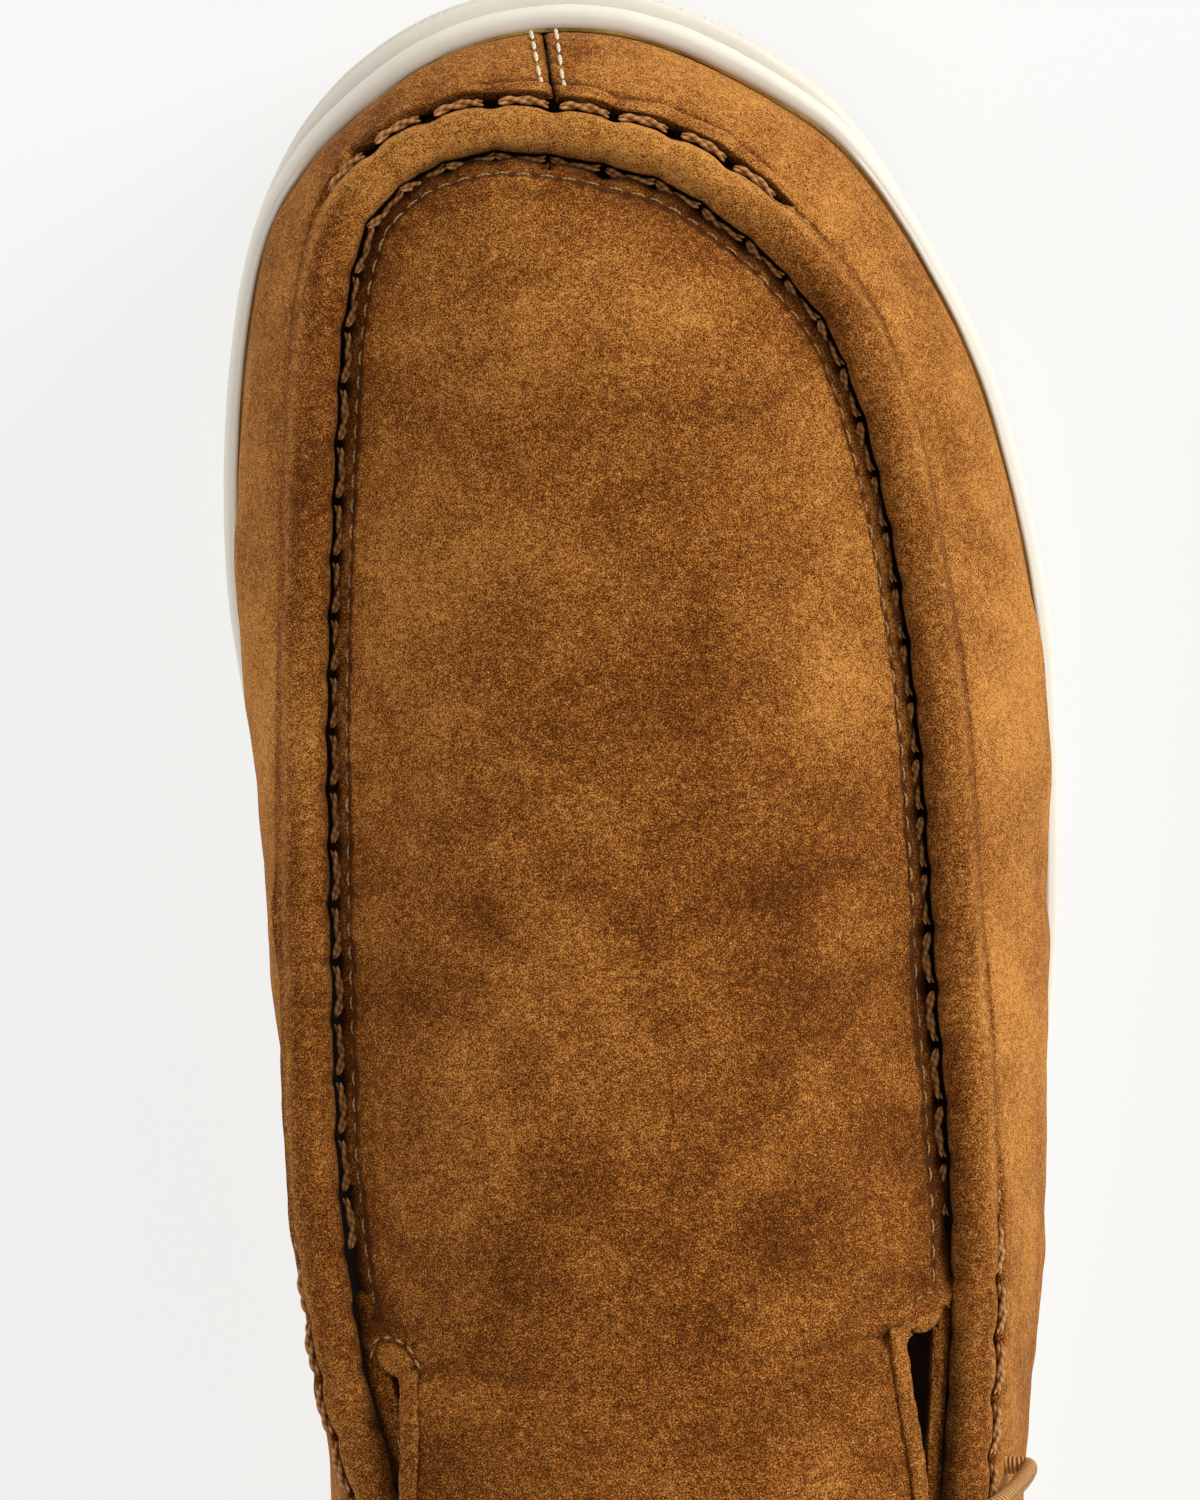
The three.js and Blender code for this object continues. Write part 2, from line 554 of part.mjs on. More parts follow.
/** Plug in front of the slits and the tongue behind them, each with its lining. */
function plugAndTongue() {
  const [top, bottom] = [LEATHER + GAP, LEATHER + GAP + LINING];
  const across = [-LINING_MARGIN, LINING_MARGIN, 8];
  add('plug', sheet(plug, [0, SLIT - 1.5 * INDEX_GAP, 22], [-1, 1, 10], 0, LEATHER), LEATHER_FINISH);
  const plugLining = sheet(plug, [0.6, SLIT - 2.5 * INDEX_GAP, 16], across, top, bottom);
  add('plug_lining', plugLining, LINING_FINISH);
  const tongueRange = [TONGUE_ROOT, TONGUE_TIP, 8];
  add('tongue', sheet(tongue, tongueRange, [-1, 1, 10], 0, LEATHER), LEATHER_FINISH);
  const tongueLining = sheet(tongue, [TONGUE_ROOT + 1, TONGUE_TIP - 1, 6], across, top, bottom);
  add('tongue_lining', tongueLining, LINING_FINISH);
}

/** Folded strips that bind each slit beside the roll. */
function slitBindings() {
  for (const [side, sign] of [['medial', 1], ['lateral', -1]]) {
    const strip = (i, q, depth) => {
      const width = SLIT_STRIP_WIDTH - SLIT_STRIP_TAPER * (i - SLIT);
      const p = plugEdge(sign * i).addScaledVector(outward(topline, sign * i), -width * q);
      p.z += SLIT_STRIP_RISE * q - depth;
      return p;
    };
    const along = [SLIT + 1.5 * INDEX_GAP, ROLL_END, 10];
    add(`slit_binding_${side}`, sheet(strip, along, [0.06, 1, 3], 0, SLIT_BINDING), ROLL_FINISH);
  }
}

/** Distance s on the topline at an outline index. */
const toplineDistance = (i) => (at(topline, i).y + SHOE_LENGTH / 2) / lengthScale;

/** Elastic lace: one cord through all four holes, crossing over the tongue, knotted inside. */
function lace() {
  const [medialFront, lateralFront, medialRear, lateralRear] = eyelets;
  const ride = LACE_RADIUS + GAP;
  const inside = LINING_DEPTH + LINING + ride + HOLE_CLEARANCE;
  const reach = ROLL_RADIUS + ride + LACE_SLACK;
  const [frontDistance, rearDistance] = [FRONT_HOLE, REAR_HOLE].map(toplineDistance);
  const beside = ({ centre, out }, distance) => centre.clone().addScaledVector(out, distance);
  const through = (eyelet) => [-inside, -inside / 2, 1, ride + 1].map((d) => beside(eyelet, d));
  const overRoll = (i) => at(topline, i).add(new THREE.Vector3(0, 0, reach));
  const roundRoll = (i) => overRoll(i).addScaledVector(outward(topline, i), 0.8 * reach)
    .sub(new THREE.Vector3(0, 0, 0.4 * reach));

  // Place over the tongue: across is 1 on the medial side; the strand runs back as it crosses.
  const overTongue = (across, side, lift) => {
    const share = 0.5 - (side * across) / 2.6;
    const s = frontDistance + (rearDistance - frontDistance) * share;
    return tongueFace(s, across).add(new THREE.Vector3(0, 0, ride + GAP + lift));
  };

  // One strand from a front hole to the rear hole opposite; the lift carries it over the other.
  const strand = (side, front, rear, lift) => [
    ...through(front),
    roundRoll(side * (FRONT_HOLE + 2 * INDEX_GAP)),
    overRoll(side * (FRONT_HOLE + 4 * INDEX_GAP)),
    overTongue(0.5 * side, side, lift / 3),
    overTongue(0, side, lift),
    overTongue(-0.5 * side, side, lift / 3),
    overRoll(-side * (REAR_HOLE - 4 * INDEX_GAP)),
    roundRoll(-side * (REAR_HOLE - 2 * INDEX_GAP)),
    ...through(rear).reverse(),
  ];
  const route = [
    ...strand(1, medialFront, lateralRear, 0),
    ...strand(-1, lateralFront, medialRear, 2 * LACE_RADIUS + GAP),
  ];
  const path = new THREE.CatmullRomCurve3(route, false, 'centripetal');
  let solid = toSolid(bar(path, LACE_RADIUS, LACE_STEPS, 8));
  for (const eyelet of [medialFront, medialRear]) {
    const knot = new THREE.SphereGeometry(KNOT_RADIUS, 10, 8);
    const { x, y, z } = beside(eyelet, -inside - KNOT_RADIUS / 2);
    knot.translate(x, y, z);
    solid = solid.add(toSolid(knot));
  }
  add('lace', toGeometry(solid), LACE_FINISH);
}

cupsole();
treads();
insoleParts();
walls();
stiffeners();
linings();
rollAndBinding();
plugAndTongue();
slitBindings();
lace();

export default shoe;
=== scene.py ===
"""Looks of a right-foot moccasin: nubuck upper, raised seam roll, elastic lace and cup sole.

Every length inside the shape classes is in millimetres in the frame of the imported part: +Z up,
toe towards -Y, medial side towards +X. Meshes are written in metres.
"""
import logging
import math
from dataclasses import dataclass, field
from enum import Enum
from typing import Callable, Sequence

import bpy
import numpy as np
from mathutils import Matrix


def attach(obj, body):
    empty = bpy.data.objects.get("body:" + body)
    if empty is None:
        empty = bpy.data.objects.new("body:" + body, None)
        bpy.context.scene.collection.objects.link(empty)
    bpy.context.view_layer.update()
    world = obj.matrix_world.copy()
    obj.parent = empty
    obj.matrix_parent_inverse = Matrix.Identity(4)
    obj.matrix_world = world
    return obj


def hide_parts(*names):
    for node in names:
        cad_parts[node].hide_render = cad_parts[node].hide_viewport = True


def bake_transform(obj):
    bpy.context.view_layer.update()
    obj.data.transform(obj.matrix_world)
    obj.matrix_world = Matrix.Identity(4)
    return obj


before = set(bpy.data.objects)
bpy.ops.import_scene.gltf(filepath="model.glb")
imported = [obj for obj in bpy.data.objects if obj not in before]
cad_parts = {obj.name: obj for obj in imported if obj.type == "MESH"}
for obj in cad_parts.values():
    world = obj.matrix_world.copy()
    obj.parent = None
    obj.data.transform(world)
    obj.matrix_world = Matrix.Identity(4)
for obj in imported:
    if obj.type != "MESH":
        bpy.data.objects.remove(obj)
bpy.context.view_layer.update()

log = logging.getLogger("moccasin")
Array = np.ndarray
MM = 0.001
HEEL = 19
SLIT = 10
ROLL_END = 13
JOINT = 12.95                            # index of the joint between vamp and quarter
LEVEL_UP = np.array([0, 0, 1.0])
MIDDLE = 4.0                             # the foot's middle line lies this far to the medial side
CORE = (-95, 105)                        # and runs between these places along the shoe


class Side(Enum):
    """Side of the shoe, with the sign of its outline index."""

    MEDIAL = 1
    LATERAL = -1

    @property
    def word(self) -> str:
        """Its name in small letters, for the names of pieces."""
        return self.name.lower()


# ---------------------------------------------------------------- numbers on arrays

def unit(v: Array) -> Array:
    """Vectors scaled to length one along the last axis."""
    return v / np.maximum(np.linalg.norm(v, axis=-1, keepdims=True), 1e-9)


def smooth(a: float, b: float, x: Array) -> Array:
    """Smooth step: 0 below a, 1 above b, with a cubic between."""
    t = np.clip((x - a) / (b - a), 0, 1)
    return t * t * (3 - 2 * t)


def hash_noise(ix: Array, iy: Array, seed: int) -> Array:
    """Repeatable value from 0 to 1 for each pair of whole numbers: the fraction of a big sine."""
    n = np.sin(ix * 127.1 + iy * 311.7 + seed * 74.7) * 43758.5453
    return n - np.floor(n)


def value_noise(x: Array, y: Array, seed: int = 0) -> Array:
    """Smooth noise from -1 to 1: corner values of a unit grid, blended by smooth steps."""
    x0, y0 = np.floor(x), np.floor(y)
    fx, fy = x - x0, y - y0
    fx, fy = fx * fx * (3 - 2 * fx), fy * fy * (3 - 2 * fy)
    a, b = hash_noise(x0, y0, seed), hash_noise(x0 + 1, y0, seed)
    c, d = hash_noise(x0, y0 + 1, seed), hash_noise(x0 + 1, y0 + 1, seed)
    return 2 * ((a * (1 - fx) + b * fx) * (1 - fy) + (c * (1 - fx) + d * fx) * fy) - 1


def fractal(x: Array, y: Array, seed: int = 0, octaves: int = 3) -> Array:
    """Sum of value noises, each at twice the frequency and half the height of the last."""
    return sum(value_noise(x * 2 ** k, y * 2 ** k, seed + k) / 2 ** k for k in range(octaves))


def crease(phase: Array, sharp: float = 3.0) -> Array:
    """Rounded ridges with narrow valleys: 1 less a power of the cosine of the phase."""
    return 1 - np.abs(np.cos(phase)) ** sharp


# ---------------------------------------------------------------- the last and its surfaces

OUTLINE_MEDIAL = (
    (7.6, 0), (19, 1.6), (28.5, 5.6), (36.5, 11.6), (43, 19.5), (48.6, 31), (53.3, 52),
    (55.2, 77), (52.3, 110), (48.2, 140), (45.8, 163), (44.3, 181), (43.6, 198), (43.4, 212),
    (43.4, 229), (43.2, 246), (41.6, 264), (36, 284), (22, 298), (3.5, 302))
OUTLINE_LATERAL = (
    (7.6, 0), (-4, 1.4), (-15, 5.8), (-25, 12.5), (-34, 22), (-43, 39), (-50.4, 59),
    (-55.2, 89), (-54.6, 124), (-51.6, 151), (-48.6, 170), (-45.4, 186), (-42.6, 199),
    (-40.6, 212), (-38.6, 229), (-37, 246), (-34.8, 264), (-28.6, 284), (-15, 298), (3.5, 302))
TOPLINE_MEDIAL = (
    (7.4, 18.2, 47), (16, 17.4, 47), (24.8, 19.4, 47), (31, 23.5, 47.3), (34.6, 28.5, 47.6),
    (38, 40, 48.8), (41, 62, 51), (43.6, 90, 56.5), (45.2, 122, 66), (45.6, 146, 74),
    (43.8, 166, 81), (40.5, 181, 87), (38.5, 196, 92.5), (37.8, 210, 96.5), (36.5, 223, 93),
    (35.5, 238, 88), (34.5, 254, 87), (30, 274, 93), (18, 288, 100), (3, 292, 102))
TOPLINE_LATERAL = (
    (7.4, 18.2, 47), (-0.5, 20.2, 47), (-8, 23, 47), (-15.2, 28.2, 47.3), (-22.5, 35.4, 47.8),
    (-29.7, 47, 49), (-34.2, 67.5, 52), (-36.4, 95, 57), (-36.3, 125, 64), (-36, 148, 71.5),
    (-34.8, 166, 77.5), (-32.4, 182, 83.5), (-30.4, 197, 89), (-29.6, 210, 93), (-29.4, 223, 90),
    (-29.8, 238, 85), (-28.8, 254, 84), (-24.5, 274, 91), (-12.5, 288, 99), (3, 292, 102))
SWELL = ((0, 1.2, 1.2), (6, 1, 0.9), (8, 1.5, 1.5), (10, 5, 3), (12, 7, 4), (15, 5, 4.5), (19, 4, 4))
TONGUE = (
    (165.5, 5.4, 96.6, 27.5, 9.4), (178, 5.4, 101.8, 27.5, 11), (190, 5.2, 107, 26.5, 13),
    (202, 4.9, 112.8, 25.5, 14.5), (212, 4.6, 118.5, 24.5, 15))
CROWN = ((0, 0), (1, 3.2), (2, 5.4), (3, 7.4), (4, 9.4), (5, 12), (6, 14.6), (7, 16.4),
         (8, 17.2), (9, 17.4), (10, 17.6))


def look_up(rows: Sequence[Sequence[float]], where: Array, column: int = 1) -> Array:
    """Straight-line reading of one column of a table at many places."""
    data = np.array(rows, float)
    return np.interp(where, data[:, 0], data[:, column])


@dataclass
class Last:
    """The shoe's form: closed outline and topline curves and the surfaces hung between them."""

    length: float = 302.0
    spring: float = 6.0
    spring_end: float = 70.0
    floor: float = 12.0
    lip: float = 23.0
    lip_thickness: float = 2.1
    bumper: float = 2.3
    toe_lip: float = 1.0
    clearance: float = 0.8
    gap: float = 0.35
    leather: float = 1.6
    roll: float = 2.6
    roll_sink: float = 1.6
    binding: float = 1.8
    outline: Array = field(init=False)
    topline: Array = field(init=False)

    def __post_init__(self) -> None:
        """Joins each pair of half curves into one closed ring of points."""
        self.outline = self.ring(OUTLINE_MEDIAL, OUTLINE_LATERAL)
        self.topline = self.ring(TOPLINE_MEDIAL, TOPLINE_LATERAL)

    def ring(self, medial: Sequence, lateral: Sequence) -> Array:
        """Medial points forwards and lateral points back, with s turned into y."""
        points = [*medial, *lateral[-2:0:-1]]
        return np.array([(p[0], p[1] - self.length / 2, p[2] if len(p) > 2 else 0.0) for p in points])

    def at(self, curve: Array, i: Array) -> Array:
        """Catmull-Rom curve through a ring of points, read at outline indices.

        Args:
            curve: ring of points.
            i: indices, 0 at the toe, positive on the medial side, HEEL at the heel.
        Returns:
            Points, one for each index.
        """
        i = np.asarray(i, float)
        n = len(curve)
        k = np.floor(i).astype(int)
        t = (i - k)[..., None]
        a, b, c, d = (curve[(k + o) % n] for o in (-1, 0, 1, 2))
        m0, m1 = (c - a) / 2, (d - b) / 2
        return ((2 * b - 2 * c + m0 + m1) * t ** 3 + (3 * c - 3 * b - 2 * m0 - m1) * t ** 2 + m0 * t + b)

    def outward(self, curve: Array, i: Array) -> Array:
        """Level unit vectors pointing out of the shoe, square to a curve."""
        run = self.at(curve, i + 0.02) - self.at(curve, i - 0.02)
        return unit(np.stack([run[..., 1], -run[..., 0], np.zeros_like(run[..., 0])], -1))

    def lift(self, y: Array) -> Array:
        """Toe spring: the square of how far a place lies ahead of the ground contact."""
        ahead = (self.spring_end - (y + self.length / 2)) / self.spring_end
        return self.spring * np.clip(ahead, 0, None) ** 2

    def signed(self, i: Array) -> Array:
        """Index brought into the range from -HEEL to HEEL."""
        return (np.asarray(i, float) + HEEL) % (2 * HEEL) - HEEL

    def bumper_inset(self, i: Array) -> Array:
        """How far the toe bumper stands out past the lip, fading along the sides."""
        return self.bumper * (1 - smooth(2.2, 5.5, np.abs(self.signed(i))))

    def lip_inset(self, i: Array) -> Array:
        """Distance from the outline to the lip's inner side, wider round the toe."""
        toe = 1 - smooth(2.2, 5.5, np.abs(self.signed(i)))
        return (self.bumper + self.toe_lip) * toe + self.lip_thickness

    def sole_point(self, i: Array, inset: Array, height: Array) -> Array:
        """Outline moved in by an inset, at a height over the ground line plus the toe spring."""
        p = self.at(self.outline, i) - self.outward(self.outline, i) * np.asarray(inset)[..., None]
        p[..., 2] = height + self.lift(p[..., 1])
        return p

    def wall_top(self, i: Array) -> Array:
        """Top edge of the wall: beside the roll in front and under the binding behind."""
        back = smooth(ROLL_END, ROLL_END + 1, np.abs(self.signed(i)))
        beside = (self.roll + self.gap + self.leather / 2) * (1 - back)
        p = self.at(self.topline, i) + self.outward(self.topline, i) * beside[..., None]
        p[..., 2] -= self.roll_sink + (self.binding + self.gap - self.roll_sink) * back
        return p

    def wall(self, i: Array, v: Array) -> Array:
        """Outer face of the wall: upright in the cup, then leaning in and swelling to its top.

        Args:
            i: outline index, v: 0 at the foot and 1 at the top edge; arrays of one shape.
        Returns:
            Points of the face.
        """
        foot = self.sole_point(i, self.lip_inset(i) + self.clearance, self.floor + self.gap)
        top = self.wall_top(i)
        z = foot[..., 2] + (top[..., 2] - foot[..., 2]) * v
        lip = foot[..., 2] + self.lip - self.floor
        f = np.clip((z - lip) / (top[..., 2] - lip), 0, None)
        side = self.signed(i)
        swell = np.where(side >= 0, look_up(SWELL, np.abs(side), 1), look_up(SWELL, np.abs(side), 2))
        p = foot + (top - foot) * (f ** 1.7)[..., None]
        p = p + self.outward(self.outline, i) * (swell * np.sin(np.pi * np.clip(f, 0, 1)))[..., None]
        p[..., 2] = z
        return p

    def plug_edge(self, i: Array) -> Array:
        """Edge of the plug: inside of the roll, a little under its top."""
        p = self.at(self.topline, i) - self.outward(self.topline, i) * (self.roll + self.gap)
        p[..., 2] -= 0.6
        return p

    def plug(self, i: Array, across: Array) -> Array:
        """Outer face of the plug: rungs from edge to edge, raised by a crown."""
        f = ((across + 1) / 2)[..., None]
        p = self.plug_edge(-i) * (1 - f) + self.plug_edge(i) * f
        p[..., 2] += look_up(CROWN, i) * np.clip(1 - np.abs(across) ** 2.2, 0, None)
        return p

    def tongue(self, s: Array, across: Array) -> Array:
        """Outer face of the tongue: an arch that rises towards its tip."""
        x, z, half, drop = (look_up(TONGUE, s, c) for c in (1, 2, 3, 4))
        return np.stack([x + across * half, s - self.length / 2, z - drop * np.abs(across) ** 2.2], -1)


LAST = Last()


def core(point: Array) -> Array:
    """Place on the shoe's middle line, level with a point."""
    return np.array([MIDDLE, np.clip(point[1], *CORE), point[2]])


# ---------------------------------------------------------------- meshes from arrays

def finish_mesh(name: str, points: Array, quads: Array, uv: Array | None = None) -> bpy.types.Object:
    """Makes a smooth mesh object from points in millimetres and four-cornered faces.

    Args:
        name: object name.
        points: (n, 3) array.
        quads: (m, 4) array of point numbers, all wound one way; they are turned to face outwards.
        uv: (n, 2) array of texture places in millimetres, or None.
    Returns:
        The new object, at the origin.
    """
    if outward_volume(points, quads) < 0:
        quads = quads[:, ::-1]
    mesh = bpy.data.meshes.new(name)
    mesh.vertices.add(len(points))
    mesh.vertices.foreach_set("co", (points * MM).astype(np.float32).ravel())
    mesh.loops.add(quads.size)
    mesh.loops.foreach_set("vertex_index", quads.astype(np.int32).ravel())
    mesh.polygons.add(len(quads))
    mesh.polygons.foreach_set("loop_start", np.arange(0, quads.size, 4, dtype=np.int32))
    mesh.polygons.foreach_set("use_smooth", np.ones(len(quads), bool))
    if uv is not None:
        layer = mesh.uv_layers.new(name="surface")
        layer.data.foreach_set("uv", uv[quads.ravel()].astype(np.float32).ravel())
    mesh.update(calc_edges=True)
    mesh.validate()
    obj = bpy.data.objects.new(name, mesh)
    bpy.context.collection.objects.link(obj)
    return obj


def grid_quads(rows: int, cols: int, wrap_rows: bool = False, wrap_cols: bool = False) -> Array:
    """Faces of a grid of points numbered row by row, closed round either way if asked."""
    a = np.arange(rows if wrap_rows else rows - 1)[:, None]
    b = np.arange(cols if wrap_cols else cols - 1)[None, :]
    a1, b1 = (a + 1) % rows, (b + 1) % cols
    return np.stack([a * cols + b, a1 * cols + b, a1 * cols + b1, a * cols + b1], -1).reshape(-1, 4)


def border(rows: int, cols: int) -> Array:
    """Point numbers along the four sides of a grid, once round."""
    near, far = np.arange(cols - 1), np.arange(rows - 1) * cols + cols - 1
    return np.concatenate([near, far, rows * cols - 1 - near, (rows - 1 - np.arange(rows - 1)) * cols])


def fan(ring: Array, centre: int) -> Array:
    """Four-cornered faces that close a ring of point numbers onto one centre point."""
    half = np.arange(0, len(ring), 2)
    after = (half + 2) % len(ring)
    return np.stack([ring[half], np.full(len(half), centre), ring[after], ring[half + 1]], -1)


def grid_normals(grid: Array) -> Array:
    """Unit normals of a grid surface, from its central differences."""
    return unit(np.cross(np.gradient(grid, axis=0), np.gradient(grid, axis=1)))


def outward_volume(points: Array, quads: Array) -> float:
    """Six times the volume that faces enclose, positive if they point outwards."""
    a, b, c, d = (points[quads[:, k]] for k in range(4))
    return float((np.cross(b, c) * a).sum() + (np.cross(c, d) * a).sum())


def closed_rings(name: str, rings: Array) -> bpy.types.Object:
    """Stack of rings that start at the toe, each end closed along its own middle line."""
    count = rings.shape[1]
    mirror = (-np.arange(count)) % count
    first, last = ((ring + ring[mirror]) / 2 for ring in (rings[0], rings[-1]))
    grid = np.concatenate([first[None], rings, last[None]])
    return finish_mesh(name, grid.reshape(-1, 3), grid_quads(len(grid), count, False, True))


def shell(name: str, outer: Array, thickness: float | Array, uv: Array | None = None,
          round_edge: float = 0.5) -> bpy.types.Object:
    """Closed leather: an outer grid, an inner copy sunk along the normals, and rounded edges.

    The rim joins both faces through one middle row that bulges by round_edge.

    Args:
        name: object name.
        outer: (rows, cols, 3) grid of the outer face.
        thickness: depth from outer to inner face; the sign picks the side.
        uv: (rows, cols, 2) grid of texture places, or None.
        round_edge: how far the cut edge bulges.
    Returns:
        The object.
    """
    rows, cols = outer.shape[:2]
    normal = grid_normals(outer)
    depth = np.broadcast_to(np.asarray(thickness, float), (rows, cols))[..., None]
    inner = outer - normal * depth
    edge = border(rows, cols)
    flat_out, flat_in = outer.reshape(-1, 3), inner.reshape(-1, 3)
    toward = unit(flat_out[edge] - np.roll(flat_out[edge], 1, 0) + 1e-9)
    rim_out = np.cross(toward, normal.reshape(-1, 3)[edge])
    middle = (flat_out[edge] + flat_in[edge]) / 2
    centre = outer[rows // 2, cols // 2]
    sign = np.sign(((flat_out[edge] - centre) * rim_out).sum(-1, keepdims=True))
    middle = middle + rim_out * sign * round_edge
    n = rows * cols
    points = np.concatenate([flat_out, flat_in, middle])
    top = grid_quads(rows, cols)
    bottom = top[:, ::-1] + n
    e0, e1 = edge, np.roll(edge, -1)
    m0 = 2 * n + np.arange(len(edge))
    m1 = np.roll(m0, -1)
    rim = np.concatenate([np.stack([e1, e0, m0, m1], -1), np.stack([m1, m0, e0 + n, e1 + n], -1)])
    probe = np.stack([e0[0], e1[0]])
    follows = ((top == probe[0]).any(1) & (top == probe[1]).any(1)).nonzero()[0]
    face = list(top[follows[0]])
    if face[(face.index(probe[0]) + 1) % 4] != probe[1]:
        rim = rim[:, ::-1]
    quads = np.concatenate([top, bottom, rim])
    flat_uv = None
    if uv is not None:
        base = uv.reshape(-1, 2)
        flat_uv = np.concatenate([base, base, base[edge]])
    return finish_mesh(name, points, quads, flat_uv)


def frames(path: Array, up: Array, closed: bool = False) -> tuple[Array, Array, Array]:
    """Unit run, side and top directions along a path, with the top kept close to up."""
    if closed:
        run = unit(np.roll(path, -1, 0) - np.roll(path, 1, 0))
    else:
        run = unit(np.gradient(path, axis=0))
    side = unit(np.cross(run, up))
    return run, side, np.cross(side, run)


def sweep(name: str, path: Array, profile: Callable[[Array, Array], tuple[Array, Array]], around: int,
          up: Array, closed: bool = False) -> bpy.types.Object:
    """Carries a closed profile along a path and closes the ends with small domes.

    Args:
        name: object name.
        path: (n, 3) centre points.
        profile: gives sideways and upward offsets for grids of distance (mm) and angle.
        around: points round the profile.
        up: direction that the profile's top keeps to.
        closed: whether the path joins up.
    Returns:
        The object, with UVs of distance along and distance round.
    """
    run, side, top = frames(path, up, closed)
    steps = np.linalg.norm(np.diff(path, axis=0), axis=1)
    along = np.concatenate([[0], np.cumsum(steps)])
    angle = np.linspace(0, 2 * np.pi, around, endpoint=False)
    u, a = np.meshgrid(along, angle, indexing="ij")
    x, y = profile(u, a)
    grid = path[:, None] + side[:, None] * x[..., None] + top[:, None] * y[..., None]
    rows = len(path)
    quads = grid_quads(rows, around, closed, True)
    points = grid.reshape(-1, 3)
    uv = np.stack([u, a * np.abs(x).max()], -1).reshape(-1, 2)
    if not closed:
        domes, faces = [], []
        for end, way in ((0, -1), (rows - 1, 1)):
            ring = np.arange(around) + end * around
            last = ring
            size = np.abs(grid[end] - path[end]).max()
            for shrink, push in ((0.8, 0.45), (0.45, 0.75), (0.02, 0.85)):
                cap = path[end] + (grid[end] - path[end]) * shrink + run[end] * way * size * push
                start = rows * around + sum(len(d) for d in domes)
                domes.append(cap)
                new = start + np.arange(around)
                q = np.stack([last, new, np.roll(new, -1), np.roll(last, -1)], -1)
                faces.append(q if way > 0 else q[:, ::-1])
                last = new
            centre = rows * around + sum(len(d) for d in domes)
            domes.append((path[end] + run[end] * way * size * 0.85)[None])
            q = fan(last, centre)
            faces.append(q if way > 0 else q[:, ::-1])
        points = np.concatenate([points, *domes])
        quads = np.concatenate([quads, *faces])
        uv = np.concatenate([uv, np.zeros((len(points) - len(uv), 2))])
    return finish_mesh(name, points, quads, uv)


def round_profile(radius: float) -> Callable[[Array, Array], tuple[Array, Array]]:
    """Plain round section: sine and cosine of the angle times the radius."""
    return lambda u, a: (radius * np.cos(a), radius * np.sin(a))


def resample(path: Array, step: float) -> Array:
    """Points at even distances along a path, about one step apart."""
    lengths = np.concatenate([[0], np.cumsum(np.linalg.norm(np.diff(path, axis=0), axis=1))])
    count = max(2, int(round(lengths[-1] / step)) + 1)
    where = np.linspace(0, lengths[-1], count)
    return np.stack([np.interp(where, lengths, path[:, k]) for k in range(3)], -1)


def copies(name: str, centres: Array, axes: tuple[Array, Array, Array], points: Array,
           quads: Array) -> bpy.types.Object:
    """One mesh of many copies of a small closed shape, each turned to its own three axes.

    Args:
        name: object name.
        centres: (n, 3) places.
        axes: run, side and top directions, each (n, 3).
        points: (k, 3) points of the shape, or (n, k, 3) where copies differ.
        quads: faces of one shape.
    Returns:
        The object.
    """
    run, side, top = axes
    shape = np.broadcast_to(points, (len(centres), points.shape[-2], 3))
    placed = (centres[:, None] + run[:, None] * shape[..., :1] + side[:, None] * shape[..., 1:2]
              + top[:, None] * shape[..., 2:])
    offset = (np.arange(len(centres)) * shape.shape[1])[:, None, None]
    faces = (quads[None] + offset).reshape(-1, 4)
    uv = np.broadcast_to(shape[..., :2], placed.shape[:2] + (2,)).reshape(-1, 2)
    return finish_mesh(name, placed.reshape(-1, 3), faces, uv)


def stitch_shape(length: float, radius: float, dip: float, around: int = 6,
                 steps: int = 6) -> tuple[Array, Array]:
    """Small bar along x whose ends taper and dip: one stitch, closed at both ends."""
    t = np.linspace(-1, 1, steps + 1)
    a = np.linspace(0, 2 * np.pi, around, endpoint=False)
    grow = np.clip(1 - np.abs(t) ** 4, 0.25, 1)
    x = np.broadcast_to((t * length / 2)[:, None], (steps + 1, around))
    y = radius * grow[:, None] * np.cos(a)
    z = radius * grow[:, None] * np.sin(a) + (dip * (1 - t ** 2))[:, None] - dip * 0.4
    grid = np.stack([x, y, z], -1)
    points = np.concatenate([grid.reshape(-1, 3), [grid[0].mean(0)], [grid[-1].mean(0)]])
    quads = [grid_quads(steps + 1, around, False, True)]
    for ring, centre, flip in ((0, len(points) - 2, False), (steps * around, len(points) - 1, True)):
        q = fan(ring + np.arange(around), centre)
        quads.append(q[:, ::-1] if flip else q)
    return points, np.concatenate(quads)


def spread(rows: Array, count: int) -> Array:
    """Rows of three numbers read at a new, even count."""
    old, new = np.linspace(0, 1, len(rows)), np.linspace(0, 1, count)
    return np.stack([np.interp(new, old, rows[:, k]) for k in range(3)], -1)


def stitch_row(name: str, path: Array, up: Array, pitch: float, length: float, radius: float,
               dip: float = 0.25) -> bpy.types.Object:
    """Row of machine stitches at an even pitch along a path, each a small dipped bar."""
    place = resample(path, pitch)
    top = spread(up, len(place))
    run = unit(np.gradient(place, axis=0))
    side = unit(np.cross(top, run))
    points, quads = stitch_shape(length, radius, dip)
    return copies(name, place, (run, side, np.cross(run, side)), points, quads)


# ---------------------------------------------------------------- shader expressions

def colour(red: int, green: int, blue: int) -> tuple[float, float, float, float]:
    """Linear colour from display values of 0 to 255."""
    def line(c: float) -> float:
        """One channel from display to linear light."""
        return c / 12.92 if c <= 0.04045 else ((c + 0.055) / 1.055) ** 2.4
    return (line(red / 255), line(green / 255), line(blue / 255), 1.0)


